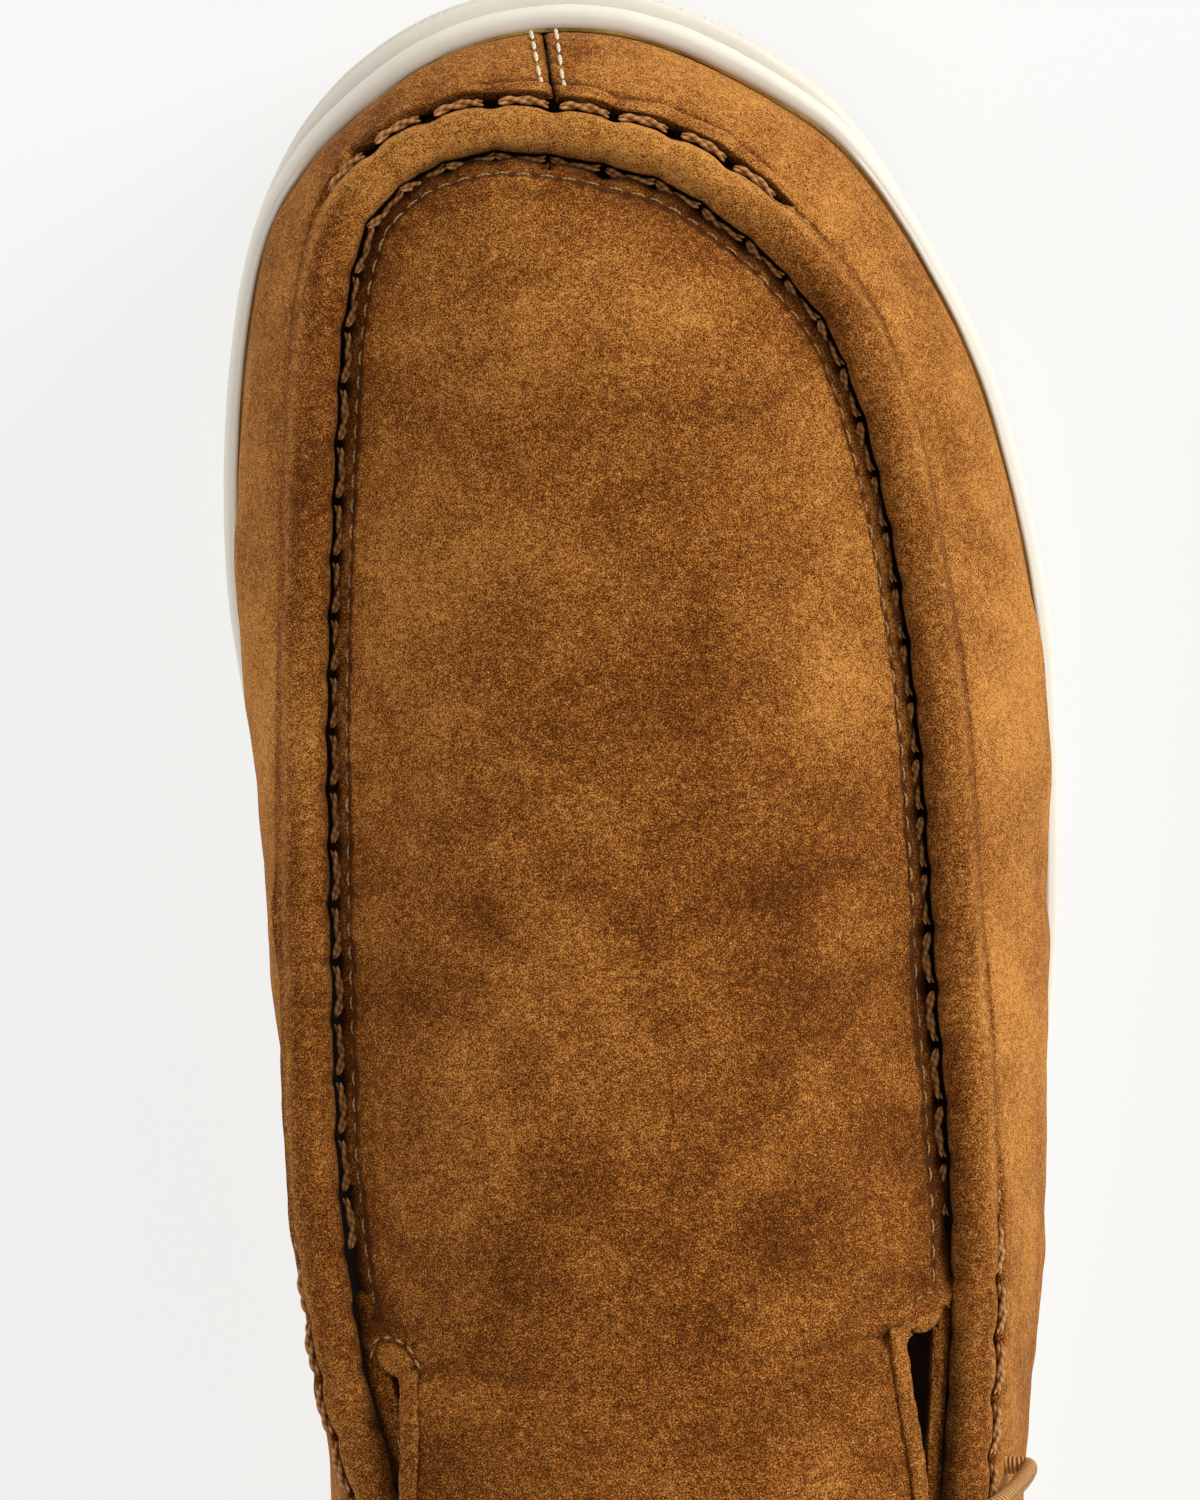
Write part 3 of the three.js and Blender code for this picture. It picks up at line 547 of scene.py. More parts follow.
class Shader:
    """Node tree of one material, with its Principled shader and ways to add nodes."""

    def __init__(self, name: str, metallic: float = 0.0, specular: float = 0.3) -> None:
        """Starts a material with a plain Principled shader."""
        self.material = bpy.data.materials.new(name)
        self.material.use_nodes = True
        self.tree = self.material.node_tree
        self.surface = self.tree.nodes["Principled BSDF"]
        self.surface.inputs["Metallic"].default_value = metallic
        self.surface.inputs["Specular IOR Level"].default_value = specular

    def node(self, kind: str, settings: dict | None = None, sockets: dict | None = None) -> bpy.types.Node:
        """Adds a node, sets its options, then gives its sockets values or links.

        Args:
            kind: Blender's node type.
            settings: option names and values; "stops" fills a colour ramp.
            sockets: input names or numbers with values, expressions or sockets.
        Returns:
            The node.
        """
        made = self.tree.nodes.new(kind)
        for key, value in (settings or {}).items():
            if key == "stops":
                ramp = made.color_ramp
                while len(ramp.elements) < len(value):
                    ramp.elements.new(0.5)
                for element, (place, shade) in zip(ramp.elements, value):
                    element.position = place
                    element.color = shade
            else:
                setattr(made, key, value)
        for key, value in (sockets or {}).items():
            self.feed(made.inputs[key], value)
        return made

    def feed(self, socket: bpy.types.NodeSocket, value: object) -> None:
        """Links an expression or socket to an input, or sets the input's value."""
        if isinstance(value, Value):
            value = value.socket
        if isinstance(value, bpy.types.NodeSocket):
            self.tree.links.new(value, socket)
        else:
            socket.default_value = value

    def value(self, node: bpy.types.Node, output: str | int = 0) -> "Value":
        """Output of a node as an expression."""
        return Value(self, node.outputs[output])

    def place(self, stretch: tuple[float, float, float] = (1, 1, 1)) -> bpy.types.NodeSocket:
        """Object coordinates, stretched along each axis."""
        where = self.node("ShaderNodeTexCoord").outputs["Object"]
        return self.node("ShaderNodeMapping", {}, {"Vector": where, "Scale": stretch}).outputs[0]

    def noise(self, size_mm: float, detail: float = 2.0, rough: float = 0.5,
              stretch: tuple[float, float, float] = (1, 1, 1)) -> "Value":
        """Noise about half, with features of a size in millimetres."""
        node = self.node("ShaderNodeTexNoise", {}, {
            "Vector": self.place(stretch), "Scale": 1 / (size_mm * MM),
            "Detail": detail, "Roughness": rough})
        return self.value(node)

    def cells(self, size_mm: float, feature: str = "F1") -> "Value":
        """Distance within cells of a size in millimetres."""
        node = self.node("ShaderNodeTexVoronoi", {"feature": feature}, {
            "Vector": self.place(), "Scale": 1 / (size_mm * MM)})
        return self.value(node, "Distance")

    def tone(self) -> "Value":
        """Shade painted on the piece's points: 0 is neutral, below is darker, above is paler."""
        return self.value(self.node("ShaderNodeAttribute", {"attribute_name": "tone"}), "Fac")

    def along(self, axis: int) -> "Value":
        """One direction of the piece's own UV map, in millimetres."""
        uv = self.node("ShaderNodeUVMap", {"uv_map": "surface"}).outputs[0]
        return self.value(self.node("ShaderNodeSeparateXYZ", {}, {0: uv}), axis)

    def ramp(self, factor: "Value", *stops: tuple[float, tuple]) -> bpy.types.NodeSocket:
        """Colour read off a ramp."""
        return self.node("ShaderNodeValToRGB", {"stops": stops}, {0: factor}).outputs[0]

    def finish(self, base: object, rough: object, height: "Value | None" = None, depth_mm: float = 0.1,
               sheen: float = 0.0, tint: tuple = (1, 1, 1, 1)) -> bpy.types.Material:
        """Feeds the surface and returns the material.

        Args:
            base: colour or colour socket. rough: roughness. height: bump height from 0 to 1.
            depth_mm: bump depth. sheen: cloth sheen weight. tint: sheen colour.
        Returns:
            The finished material.
        """
        self.feed(self.surface.inputs["Base Color"], base)
        self.feed(self.surface.inputs["Roughness"], rough)
        self.surface.inputs["Sheen Weight"].default_value = sheen
        self.surface.inputs["Sheen Roughness"].default_value = 0.45
        self.surface.inputs["Sheen Tint"].default_value = tint
        if height is not None:
            bump = self.node("ShaderNodeBump", {}, {
                "Height": height, "Distance": depth_mm * MM, "Strength": 1.0})
            self.feed(self.surface.inputs["Normal"], bump.outputs[0])
        return self.material


class Value:
    """A shader number: arithmetic on it adds Math nodes."""

    def __init__(self, shader: Shader, socket: bpy.types.NodeSocket) -> None:
        """Keeps the tree and the socket."""
        self.shader, self.socket = shader, socket

    def math(self, operation: str, first: object, second: object = 0.0) -> "Value":
        """One Math node on two numbers or expressions."""
        node = self.shader.node("ShaderNodeMath", {"operation": operation}, {0: first, 1: second})
        return Value(self.shader, node.outputs[0])

    def __add__(self, other: object) -> "Value":
        """Sum."""
        return self.math("ADD", self, other)

    def __sub__(self, other: object) -> "Value":
        """Difference."""
        return self.math("SUBTRACT", self, other)

    def __rsub__(self, other: object) -> "Value":
        """Difference from a number."""
        return self.math("SUBTRACT", other, self)

    def __mul__(self, other: object) -> "Value":
        """Product."""
        return self.math("MULTIPLY", self, other)

    __radd__ = __add__
    __rmul__ = __mul__

    def sine(self) -> "Value":
        """Sine."""
        return self.math("SINE", self)

    def clamp(self) -> "Value":
        """Held between 0 and 1."""
        node = self.shader.node("ShaderNodeClamp", {}, {0: self})
        return Value(self.shader, node.outputs[0])

    def within(self, low: float, high: float) -> "Value":
        """Smooth rise from 0 at low to 1 at high."""
        node = self.shader.node("ShaderNodeMapRange", {"interpolation_type": "SMOOTHSTEP"}, {
            "Value": self, "From Min": low, "From Max": high})
        return Value(self.shader, node.outputs[0])


# ---------------------------------------------------------------- finishes

@dataclass(frozen=True)
class Nubuck:
    """Buffed leather: cloudy colour, pebble grain under a short nap, speckled fibres."""

    name: str
    dark: tuple = colour(68, 31, 3)
    middle: tuple = colour(139, 78, 23)
    light: tuple = colour(210, 146, 72)
    cloud: float = 1.0
    speckle: float = 2.9
    grain_mm: float = 0.24

    def material(self) -> bpy.types.Material:
        """Builds the nodes."""
        s = Shader(self.name, specular=0.08)
        clouds = s.noise(26, 3, 0.55, (1, 0.75, 1)) - 0.5
        patches = s.noise(6.5, 3, 0.6, (0.7, 1, 1)) - 0.5
        nap = s.noise(0.9, 2, 0.65, (0.6, 1.15, 1)) - 0.5
        fibre = s.noise(0.19, 1, 0.8) - 0.5
        pebble = s.cells(1.15).within(0.0, 0.8)
        pores = s.cells(0.5).within(0.05, 0.4)
        shade = 0.47 + clouds * self.cloud + patches * (self.cloud * 0.5) + nap * 0.42
        shade = shade + fibre * self.speckle + (pores - 0.7) * 0.2 + (0.5 - pebble) * 0.2 + s.tone()
        base = s.ramp(shade.clamp(), (0.0, self.dark), (0.5, self.middle), (1.0, self.light))
        height = pebble * -0.5 + fibre * 0.7 + nap * 0.9 + pores * 0.3
        rough = (0.9 + fibre * 0.15).clamp()
        return s.finish(base, rough, height, self.grain_mm, 0.1, colour(236, 190, 130))


@dataclass(frozen=True)
class MouldedRubber:
    """Cream rubber with faint clouding, fine tooth where stippled, and random grime."""

    name: str
    dark: tuple = colour(120, 98, 66)
    middle: tuple = colour(218, 211, 196)
    light: tuple = colour(238, 233, 222)
    tooth_mm: float = 0.05

    def material(self) -> bpy.types.Material:
        """Builds the nodes."""
        s = Shader(self.name, specular=0.4)
        clouds = s.noise(30, 3) - 0.5
        grime = s.noise(3, 3, 0.65) - 0.5
        tooth = s.noise(0.5, 2, 0.6) - 0.5
        stipple = s.value(s.node("ShaderNodeAttribute", {"attribute_name": "stipple"}), "Fac")
        bumps = s.cells(0.85).within(0.1, 0.55) * stipple
        # The stipple's pits are painted darker (painted shade); grime and clouding vary at random.
        shade = 0.62 + clouds * 0.25 + grime * 0.12 + tooth * 0.08 - bumps * 0.12 + s.tone()
        base = s.ramp(shade.clamp(), (0.0, self.dark), (0.5, self.middle), (1.0, self.light))
        rough = (0.52 + grime * 0.3 + stipple * 0.2).clamp()
        return s.finish(base, rough, tooth * 0.4 - bumps * 3.5, self.tooth_mm)


@dataclass(frozen=True)
class Thread:
    """Waxed twisted thread: plies that wind round the piece's own length."""

    name: str
    dark: tuple = colour(120, 76, 34)
    light: tuple = colour(214, 164, 104)
    ply_mm: float = 0.7
    slant: float = 1.0
    depth_mm: float = 0.12

    def material(self) -> bpy.types.Material:
        """Builds the nodes."""
        s = Shader(self.name, specular=0.35)
        wind = ((s.along(0) + s.along(1) * self.slant) * (2 * math.pi / self.ply_mm)).sine() * 0.5 + 0.5
        fuzz = s.noise(0.3, 2, 0.7) - 0.5
        uneven = s.noise(9, 2) - 0.5
        # Colour follows the plies: lighter on their crests (painted highlight) and darker between them
        # (painted shade), with random fuzz and unevenness.
        shade = wind * 0.55 + 0.2 + fuzz * 0.6 + uneven * 0.4 + s.tone()
        base = s.ramp(shade.clamp(), (0.0, self.dark), (1.0, self.light))
        return s.finish(base, 0.62, wind + fuzz * 0.4, self.depth_mm)


@dataclass(frozen=True)
class Cloth:
    """Lining, foam or board: two shades, a weave or pores of one size, and a soft surface."""

    name: str
    dark: tuple
    light: tuple
    grain: float = 0.7
    depth_mm: float = 0.1
    rough: float = 0.88

    def material(self) -> bpy.types.Material:
        """Builds the nodes."""
        s = Shader(self.name, specular=0.15)
        clouds = s.noise(14, 3) - 0.5
        pores = s.cells(self.grain).within(0.05, 0.6)
        fibre = s.noise(self.grain * 0.5, 2, 0.7) - 0.5
        shade = 0.45 + clouds * 0.5 + pores * 0.25 + fibre * 0.4 + s.tone()
        base = s.ramp(shade.clamp(), (0.0, self.dark), (1.0, self.light))
        return s.finish(base, self.rough, pores + fibre * 0.5, self.depth_mm, 0.1)


@dataclass(frozen=True)
class Steel:
    """Browned steel: fine drawn lines and uneven polish."""

    name: str

    def material(self) -> bpy.types.Material:
        """Builds the nodes."""
        s = Shader(self.name, metallic=1.0, specular=0.5)
        lines = s.noise(0.4, 2, 0.5, (1, 0.08, 1)) - 0.5
        stain = s.noise(4, 3) - 0.5
        shade = (0.5 + lines * 0.3 + stain * 0.6).clamp()
        base = s.ramp(shade, (0.0, colour(92, 78, 62)), (1.0, colour(176, 164, 148)))
        return s.finish(base, (0.4 + lines * 0.3).clamp(), lines, 0.02)


class Finish(Enum):
    """Every finish on the shoe."""

    NUBUCK = Nubuck("nubuck")
    ROLL = Nubuck("roll_nubuck", colour(66, 30, 5), colour(134, 76, 24), colour(206, 145, 72),
                  0.6, 2.7, 0.16)
    LINING = Cloth("pig_lining", colour(44, 28, 15), colour(92, 64, 38), 0.9)
    FOAM = Cloth("foam", colour(170, 160, 140), colour(226, 218, 200), 0.8, 0.2)
    BOARD = Cloth("fibre_board", colour(92, 86, 76), colour(140, 132, 118), 0.5)
    SOLE = MouldedRubber("sole_rubber")
    TREAD = MouldedRubber("gum_rubber", colour(70, 42, 18), colour(138, 92, 48), colour(170, 120, 70),
                          0.06)
    # Each thread's light colour is the painted highlight on its ply crests and its dark colour the painted
    # shade between them.
    HAND_THREAD = Thread("hand_thread", colour(122, 68, 24), colour(206, 150, 86), 1.1, 0.8, 0.06)
    SEAM_THREAD = Thread("seam_thread", colour(104, 66, 28), colour(198, 156, 98), 0.6, 1.0, 0.05)
    CREAM_THREAD = Thread("cream_thread", colour(186, 158, 112), colour(250, 240, 216), 0.7, 1.0, 0.06)
    LACE = Thread("lace_sheath", colour(72, 36, 10), colour(244, 178, 100), 0.52, 0.12, 0.2)
    CEMENT = Cloth("cement", colour(124, 92, 34), colour(198, 164, 86), 0.5, 0.05, 0.4)
    STEEL = Steel("browned_steel")


@dataclass
class Wardrobe:
    """Makes each material once and puts it on pieces."""

    made: dict = field(default_factory=dict)

    def dress(self, obj: bpy.types.Object, finish: Finish) -> None:
        """Gives a piece or CAD node its one material."""
        if finish not in self.made:
            self.made[finish] = finish.value.material()
        obj.data.materials.clear()
        obj.data.materials.append(self.made[finish])


WARDROBE = Wardrobe()


def paint(obj: bpy.types.Object, name: str, values: Array) -> None:
    """Writes one number for each point; points past the given ones repeat from the start."""
    count = len(obj.data.vertices)
    full = np.resize(values.ravel().astype(np.float32), count)
    obj.data.attributes.new(name, "FLOAT", "POINT").data.foreach_set("value", full)


def paint_shell(obj: bpy.types.Object, tone: Array) -> None:
    """Paints a shell's outer face with its tones, its inner face darker and its edge near neutral."""
    edge = np.full(len(obj.data.vertices) - 2 * tone.size, -0.04)
    paint(obj, "tone", np.concatenate([tone.ravel(), tone.ravel() - 0.15, edge]))


def fit(obj: bpy.types.Object, finish: Finish, nodes: Sequence[str] = (),
        body: str = "shoe") -> None:
    """Dresses a piece, lets it ride on a body, hides the CAD nodes it stands for, and logs its face count.
    """
    WARDROBE.dress(obj, finish)
    if body:
        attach(obj, body)
    if nodes:
        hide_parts(*nodes)
    log.info("%s: %d faces", obj.name, len(obj.data.polygons))


# ---------------------------------------------------------------- the seam that everything follows

@dataclass
class Seam:
    """Raised seam's measures: arc length along the roll and the hand stitches set out on it."""

    pitch: float = 7.3
    samples: int = 1600
    index: Array = field(init=False)
    arc: Array = field(init=False)

    def __post_init__(self) -> None:
        """Measures the topline from the toe both ways."""
        self.index = np.linspace(-ROLL_END - 1, ROLL_END + 1, self.samples)
        line = LAST.at(LAST.topline, self.index)
        run = np.concatenate([[0], np.cumsum(np.linalg.norm(np.diff(line, axis=0), axis=1))])
        self.arc = run - np.interp(0, self.index, run)

    def arc_at(self, i: Array) -> Array:
        """Arc length from the toe at an index."""
        return np.interp(i, self.index, self.arc)

    def index_at(self, arc: Array) -> Array:
        """Index at an arc length from the toe."""
        return np.interp(arc, self.arc, self.index)

    def pinch(self, arc: Array, width: float = 1.1) -> Array:
        """One at each stitch hole and near zero between: a narrow bell repeated at the pitch."""
        off = (arc / self.pitch + 0.5) % 1 - 0.5
        return np.exp(-(off * self.pitch / width) ** 2)

    def shown(self, i: Array) -> Array:
        """How far the outer stitches show: fully round the toe and beside the slits, tucked between."""
        place = np.abs(i)
        return 1 - smooth(2.6, 4.4, place) * (1 - smooth(8.6, 10.2, place))

    def holes(self, end: float) -> Array:
        """Arc lengths of the stitch holes, up to an index from the toe on both sides."""
        low, high = self.arc_at(-end), self.arc_at(end)
        return np.arange(math.ceil(low / self.pitch), math.floor(high / self.pitch) + 1) * self.pitch


SEAM = Seam()


def nearest(points: Array, line: Array) -> tuple[Array, Array]:
    """Level distance from grid points to the closest point of a line, and which point that is."""
    distance = np.empty(points.shape[:2])
    which = np.empty(points.shape[:2], int)
    for row in range(len(points)):
        gap = np.linalg.norm(points[row, :, None, :2] - line[None, :, :2], axis=-1)
        which[row] = gap.argmin(1)
        distance[row] = gap.min(1)
    return distance, which


def sit_on(grid: Array, places: Array) -> tuple[Array, Array]:
    """Closest grid points to some places, seen from above, and the surface's normals there."""
    flat, normal = grid.reshape(-1, 3), grid_normals(grid).reshape(-1, 3)
    normal = normal * np.sign(normal[:, 2:] + 1e-9)
    found = np.array([np.linalg.norm(flat[:, :2] - p[:2], axis=1).argmin() for p in places])
    return flat[found], normal[found]


@dataclass
class Plug:
    """Plug and tongue, one leather that narrows where the slits begin."""

    rows_front: int = 330
    rows_back: int = 96
    cols: int = 190
    notch: float = 0.13
    thickness: float = 1.6
    seam_strip: float = 2.5
    flare: float = 3.4
    stitch_pitch: float = 3.15
    grid: Array = field(init=False)
    tone: Array = field(init=False)

    def base(self) -> Array:
        """Smooth grid: rungs of the plug to the slits, then the tongue's arches."""
        i = (np.linspace(0.06, 1, self.rows_front) ** 1.25 * SLIT)[:, None]
        r = np.linspace(-1, 1, self.cols)[None]
        close = smooth(SLIT - self.notch, SLIT, i)
        across = r * (1 - 0.152 * close) + 0.024 * close
        front = LAST.plug(np.broadcast_to(i, across.shape), across)
        s = np.linspace(TONGUE[0][0] + 0.5, TONGUE[-1][0], self.rows_back)[:, None]
        shape = (self.rows_back, self.cols)
        back = LAST.tongue(np.broadcast_to(s, shape), np.broadcast_to(r, shape))
        behind_root = s - TONGUE[0][0]
        flare = self.flare * (1 + 0.4 * smooth(4, 20, behind_root)) * (1 - smooth(22, 44, behind_root))
        back[..., 0] += flare * np.sign(r) * np.abs(r) ** 1.5
        grid = np.concatenate([front, back])
        joint = slice(self.rows_front - 24, self.rows_front + 24)
        for _ in range(10):
            z = grid[:, :, 2]
            grid[joint, :, 2] = (np.roll(z, 1, 0) + 2 * z + np.roll(z, -1, 0))[joint] / 4
        tip = smooth(TONGUE[-1][0] - 7, TONGUE[-1][0], grid[:, :, 1] + LAST.length / 2)
        grid[..., 1] -= tip * np.abs(r) ** 4 * 6
        return grid

    def relief(self, grid: Array) -> tuple[Array, Array]:
        """Height and tone of the creases, the seam strip, the puckers and the soft dents.

        Returns:
            Height in millimetres along the normal, and tone about zero.
        """
        edge_index = np.linspace(-SLIT, SLIT, 700)
        edge = LAST.plug_edge(edge_index)
        d, which = nearest(grid, edge)
        arc = SEAM.arc_at(edge_index[which])
        x, s = grid[..., 0], grid[..., 1] + LAST.length / 2
        front = 1 - smooth(SLIT - 0.5, SLIT - 0.12, np.abs(edge_index[which]))
        warp = fractal(x / 17, s / 17, 3) * 3.2
        toe_lines = crease((s * 0.9 + x * 0.22 + warp * 1.3) / 4.6, 5)
        toe_lines = toe_lines * smooth(52, 64, s) * (1 - smooth(74, 92, s))
        toe_lines = toe_lines * (0.5 + 0.5 * fractal(x / 12, s / 9, 9))
        from_middle = x - MIDDLE
        vamp_waves = np.sin((s + warp * 2.6 + 0.0035 * from_middle ** 2) / 3.1)
        vamp_waves = vamp_waves * smooth(98, 120, s) * (1 - smooth(156, 176, s))
        vamp_waves = vamp_waves * (0.35 + 0.65 * fractal(x / 22, s / 16, 5))
        vamp_waves = vamp_waves * (0.45 + 0.55 * smooth(2, 22, np.abs(from_middle)))
        tongue_waves = np.sin((s + warp * 3.0 - 0.25 * x) / 3.6) * smooth(166, 178, s)
        tongue_waves = tongue_waves * (0.4 + 0.6 * fractal(x / 15, s / 15, 12))
        pull = np.exp(-d / 2.4) * SEAM.pinch(arc, 1.5) * front
        gathers = np.sin(arc * 2 * np.pi / SEAM.pitch) * np.exp(-((d - 4) / 3.5) ** 2) * front
        lumps = 0.22 * fractal(arc / 2.6, d * 1.3, 33, 2)
        channel = (1 - smooth(self.seam_strip - 0.9, self.seam_strip + 0.35, d)) * front
        first = SEAM.arc_at(-SLIT + 0.3)
        pit = np.exp(-((((arc - first) / self.stitch_pitch) % 1 - 0.5) * self.stitch_pitch / 0.55) ** 2)
        groove = np.exp(-((d - self.seam_strip) / 0.4) ** 2) * front
        crevice = np.exp(-(d / 0.55) ** 2) * front
        soft = fractal(x / 26, s / 26, 21) * 0.55 + fractal(x / 9, s / 9, 23) * 0.13
        pebble = fractal(x / 1.6, s / 1.6, 31, 2) * 0.035
        height = (soft + pebble + 0.16 * toe_lines + 0.34 * vamp_waves + 0.30 * tongue_waves - 0.5 * pull
                  + 0.12 * gathers - (0.85 - lumps) * channel - 0.32 * groove * (0.4 + 0.6 * pit))
        worn = fractal(x / 24, s / 30, 205) * 0.16 + fractal(x / 11, s / 8, 207) * 0.07
        # Painted tones: lighter on the crease crests and soft rises (partly rubbed wear, partly painted
        # highlight); darker at the stitch pulls, in the stitch groove and its pits, in the channel, in the
        # crevice at the roll, in a band beside the seam strip and round the toe front below the roll
        # (painted shade); random worn patches; darker towards the back.
        tone = (0.10 * toe_lines + 0.09 * vamp_waves + 0.09 * tongue_waves - 0.30 * pull * np.exp(-d)
                - groove * (0.5 + 1.2 * pit) - 0.18 * channel - 0.5 * crevice + 0.10 * soft + worn
                - 0.10 * np.exp(-((d - 3.6) / 2.0) ** 2) * front - 0.10 * (1 - smooth(24, 46, s))
                - 0.17 * smooth(95, 150, s))
        rim = np.minimum(np.arange(self.cols), np.arange(self.cols)[::-1])[None] * 55 / self.cols
        behind = smooth(164, 168, s)
        height = height * np.minimum(1, 0.25 + rim / 1.5 + (1 - behind))
        # Painted shade along the tongue's edges behind its root.
        tone = tone - behind * 0.16 * np.exp(-rim / 1.2)
        return height, tone

    def build(self) -> bpy.types.Object:
        """Builds the leather: the smooth grid raised by its relief, made into a shell and painted with its
        tones.
        """
        base = self.base()
        height, self.tone = self.relief(base)
        normal = grid_normals(base)
        up = np.sign(normal[len(base) // 2, self.cols // 2, 2])
        self.grid = base + normal * height[..., None] * up
        thin = np.clip(self.thickness + 0.8 * np.minimum(height, 0), 0.7, None)
        obj = shell("plug_and_tongue", self.grid, thin * up)
        paint_shell(obj, self.tone)
        fit(obj, Finish.NUBUCK, ("plug", "tongue"), "")
        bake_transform(obj)
        return obj

    def lining(self) -> bpy.types.Object:
        """Lining under the plug and tongue, one sheet a little smaller than the leather."""
        sub = self.base()[10::4, 6:-6:4]
        up = np.sign(grid_normals(sub)[len(sub) // 2, sub.shape[1] // 2, 2])
        outer = sub - grid_normals(sub) * up * (self.thickness + 0.6)
        obj = shell("plug_and_tongue_lining", outer, 0.8 * up, round_edge=0.2)
        fit(obj, Finish.LINING, ("plug_lining", "tongue_lining"), "")
        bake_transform(obj)
        return obj

    def seam_row(self) -> bpy.types.Object:
        """Fine machine stitches that hold the turned edge, just inside the roll."""
        i = SEAM.index_at(np.arange(SEAM.arc_at(-SLIT + 0.3), SEAM.arc_at(SLIT - 0.3), self.stitch_pitch))
        path = LAST.plug_edge(i) - LAST.outward(LAST.topline, i) * self.seam_strip
        places, normals = sit_on(self.grid, path)
        places = places + normals * 0.12
        places[:, :2] = path[:, :2]
        run = unit(np.gradient(places, axis=0))
        side = unit(np.cross(normals, run))
        points, quads = stitch_shape(2.0, 0.16, 0.2)
        obj = copies("plug_seam_stitches", places, (run, side, np.cross(run, side)), points, quads)
        fit(obj, Finish.SEAM_THREAD)
        return obj


@dataclass
class Roll:
    """Raised seam roll: leather drawn over a cord and pinched by the hand stitches."""

    radius: float = 2.62
    widen: float = 1.1
    step: float = 0.42
    around: int = 44
    thread: float = 0.34
    stitch: float = 6.3

    def path(self) -> Array:
        """Centre of the roll at even steps."""
        i = np.linspace(-ROLL_END - 0.05, ROLL_END + 0.05, 1500)
        return resample(LAST.at(LAST.topline, i), self.step)

    def build(self) -> bpy.types.Object:
        """Sweeps the pinched section along the seam."""
        path = self.path()
        start = SEAM.arc_at(-ROLL_END - 0.05)

        def section(u: Array, a: Array) -> tuple[Array, Array]:
            """Wide oval, pinched where stitches show, with a skirt over the wall between."""
            arc = u + start
            shown = SEAM.shown(SEAM.index_at(arc))
            outer = np.clip(np.cos(a), 0, 1) * shown + np.clip(-np.cos(a), 0, 1) * 0.55
            lumps = fractal(arc / 7.5, a * 0.9, 40) * 0.10 + fractal(arc / 2.6, a * 1.6, 44) * 0.035
            skirt = (1 - shown) * 1.05 * np.exp(-((a - 2 * math.pi + 0.45) / 0.42) ** 2)
            skirt = skirt + (1 - shown) * 1.05 * np.exp(-((a + 0.45) / 0.42) ** 2)
            dent = 0.42 * SEAM.pinch(arc, 1.3) * outer
            r = self.radius + lumps + skirt - dent
            return r * np.cos(a) * self.widen, r * np.sin(a)

        obj = sweep("seam_roll", path, section, self.around, LEVEL_UP)
        u = np.linspace(0, 1, len(path)) * (SEAM.arc_at(ROLL_END + 0.05) - start) + start
        a = np.linspace(0, 2 * np.pi, self.around, endpoint=False)
        arc, angle = np.meshgrid(u, a, indexing="ij")
        shown = SEAM.shown(SEAM.index_at(arc))
        # Painted tones: the underside, the inner low side towards the channel and the stitch dents on the
        # inner side darker (painted shade); the upper outer side lighter (painted highlight); lighter round
        # the toe and darker along the sides; random patches.
        low = 1 - smooth(-0.5, 0.35, np.sin(angle))
        inner = np.clip(-np.cos(angle), 0, 1)
        tone = 0.04 - (0.16 + 0.3 * shown) * low
        tone = tone - 0.22 * SEAM.pinch(arc, 0.9) * inner ** 3 - 0.16 * inner * low
        toe = 1 - smooth(2.2, 5.0, np.abs(SEAM.index_at(arc)))
        tone = tone + 0.32 * toe - 0.12 + 0.10 * fractal(arc / 16, angle, 50)
        tone = tone + 0.12 * smooth(0.55, 0.95, np.cos(angle)) * (1 - low)
        paint(obj, "tone", np.concatenate([tone.ravel(), np.zeros(len(obj.data.vertices) - tone.size)]))
        fit(obj, Finish.ROLL, ("roll_cover",))
        return obj

    def hand_stitches(self, name: str, away: float, drop: float, end: float,
                      tuck: float) -> bpy.types.Object:
        """Row of two-ply stitches along one foot of the roll.

        Args:
            name: piece name.
            away: distance outwards from the roll's centre; negative is the plug's side.
            drop: distance under the roll's centre.
            end: last outline index that the row reaches.
            tuck: how much deeper and nearer the row lies where its stitches don't show.
        Returns:
            The stitches as one piece.
        """
        middle = SEAM.holes(end)[:-1] + SEAM.pitch / 2
        i = SEAM.index_at(middle)
        hidden = (1 - SEAM.shown(i))[:, None] * tuck
        run = unit(LAST.at(LAST.topline, i + 0.02) - LAST.at(LAST.topline, i - 0.02))
        out = LAST.outward(LAST.topline, i)
        top = unit(np.cross(run, out) * np.sign(np.cross(run, out)[:, 2:]))
        centre = LAST.at(LAST.topline, i) + out * (away - hidden * 0.7) - top * (drop + hidden)
        steps, ring = 12, 6
        t = np.linspace(-1, 1, steps)[:, None]
        a = np.linspace(0, 2 * np.pi, ring, endpoint=False)[None]
        sets = []
        for phase in (0, math.pi):
            wind = t * self.stitch * math.pi / 5.5 + phase + 0.6
            ends = np.clip(1.15 - np.abs(t) ** 5, 0.3, 1)
            x = np.broadcast_to(t * self.stitch / 2, (steps, ring))
            bow = 0.45 * (1 - t ** 2) * np.sign(away)
            y = 0.27 * np.cos(wind) + self.thread * ends * np.cos(a) + bow
            z = 0.27 * np.sin(wind) + self.thread * ends * np.sin(a) - 0.9 * np.abs(t) ** 3
            sets.append(np.stack([x, y + 0 * x, z + 0 * x], -1))
        quads, points = [], []
        for k, grid in enumerate(sets):
            base = k * (steps * ring + 2)
            points += [grid.reshape(-1, 3), grid[0].mean(0)[None], grid[-1].mean(0)[None]]
            quads.append(grid_quads(steps, ring, False, True) + base)
            for first, middle_point, flip in ((0, steps * ring, False),
                                              ((steps - 1) * ring, steps * ring + 1, True)):
                q = fan(first + np.arange(ring), middle_point) + base
                quads.append(q[:, ::-1] if flip else q)
        axes = (run, out, np.cross(run, out))
        obj = copies(name, centre, axes, np.concatenate(points), np.concatenate(quads))
        fit(obj, Finish.HAND_THREAD)
        return obj


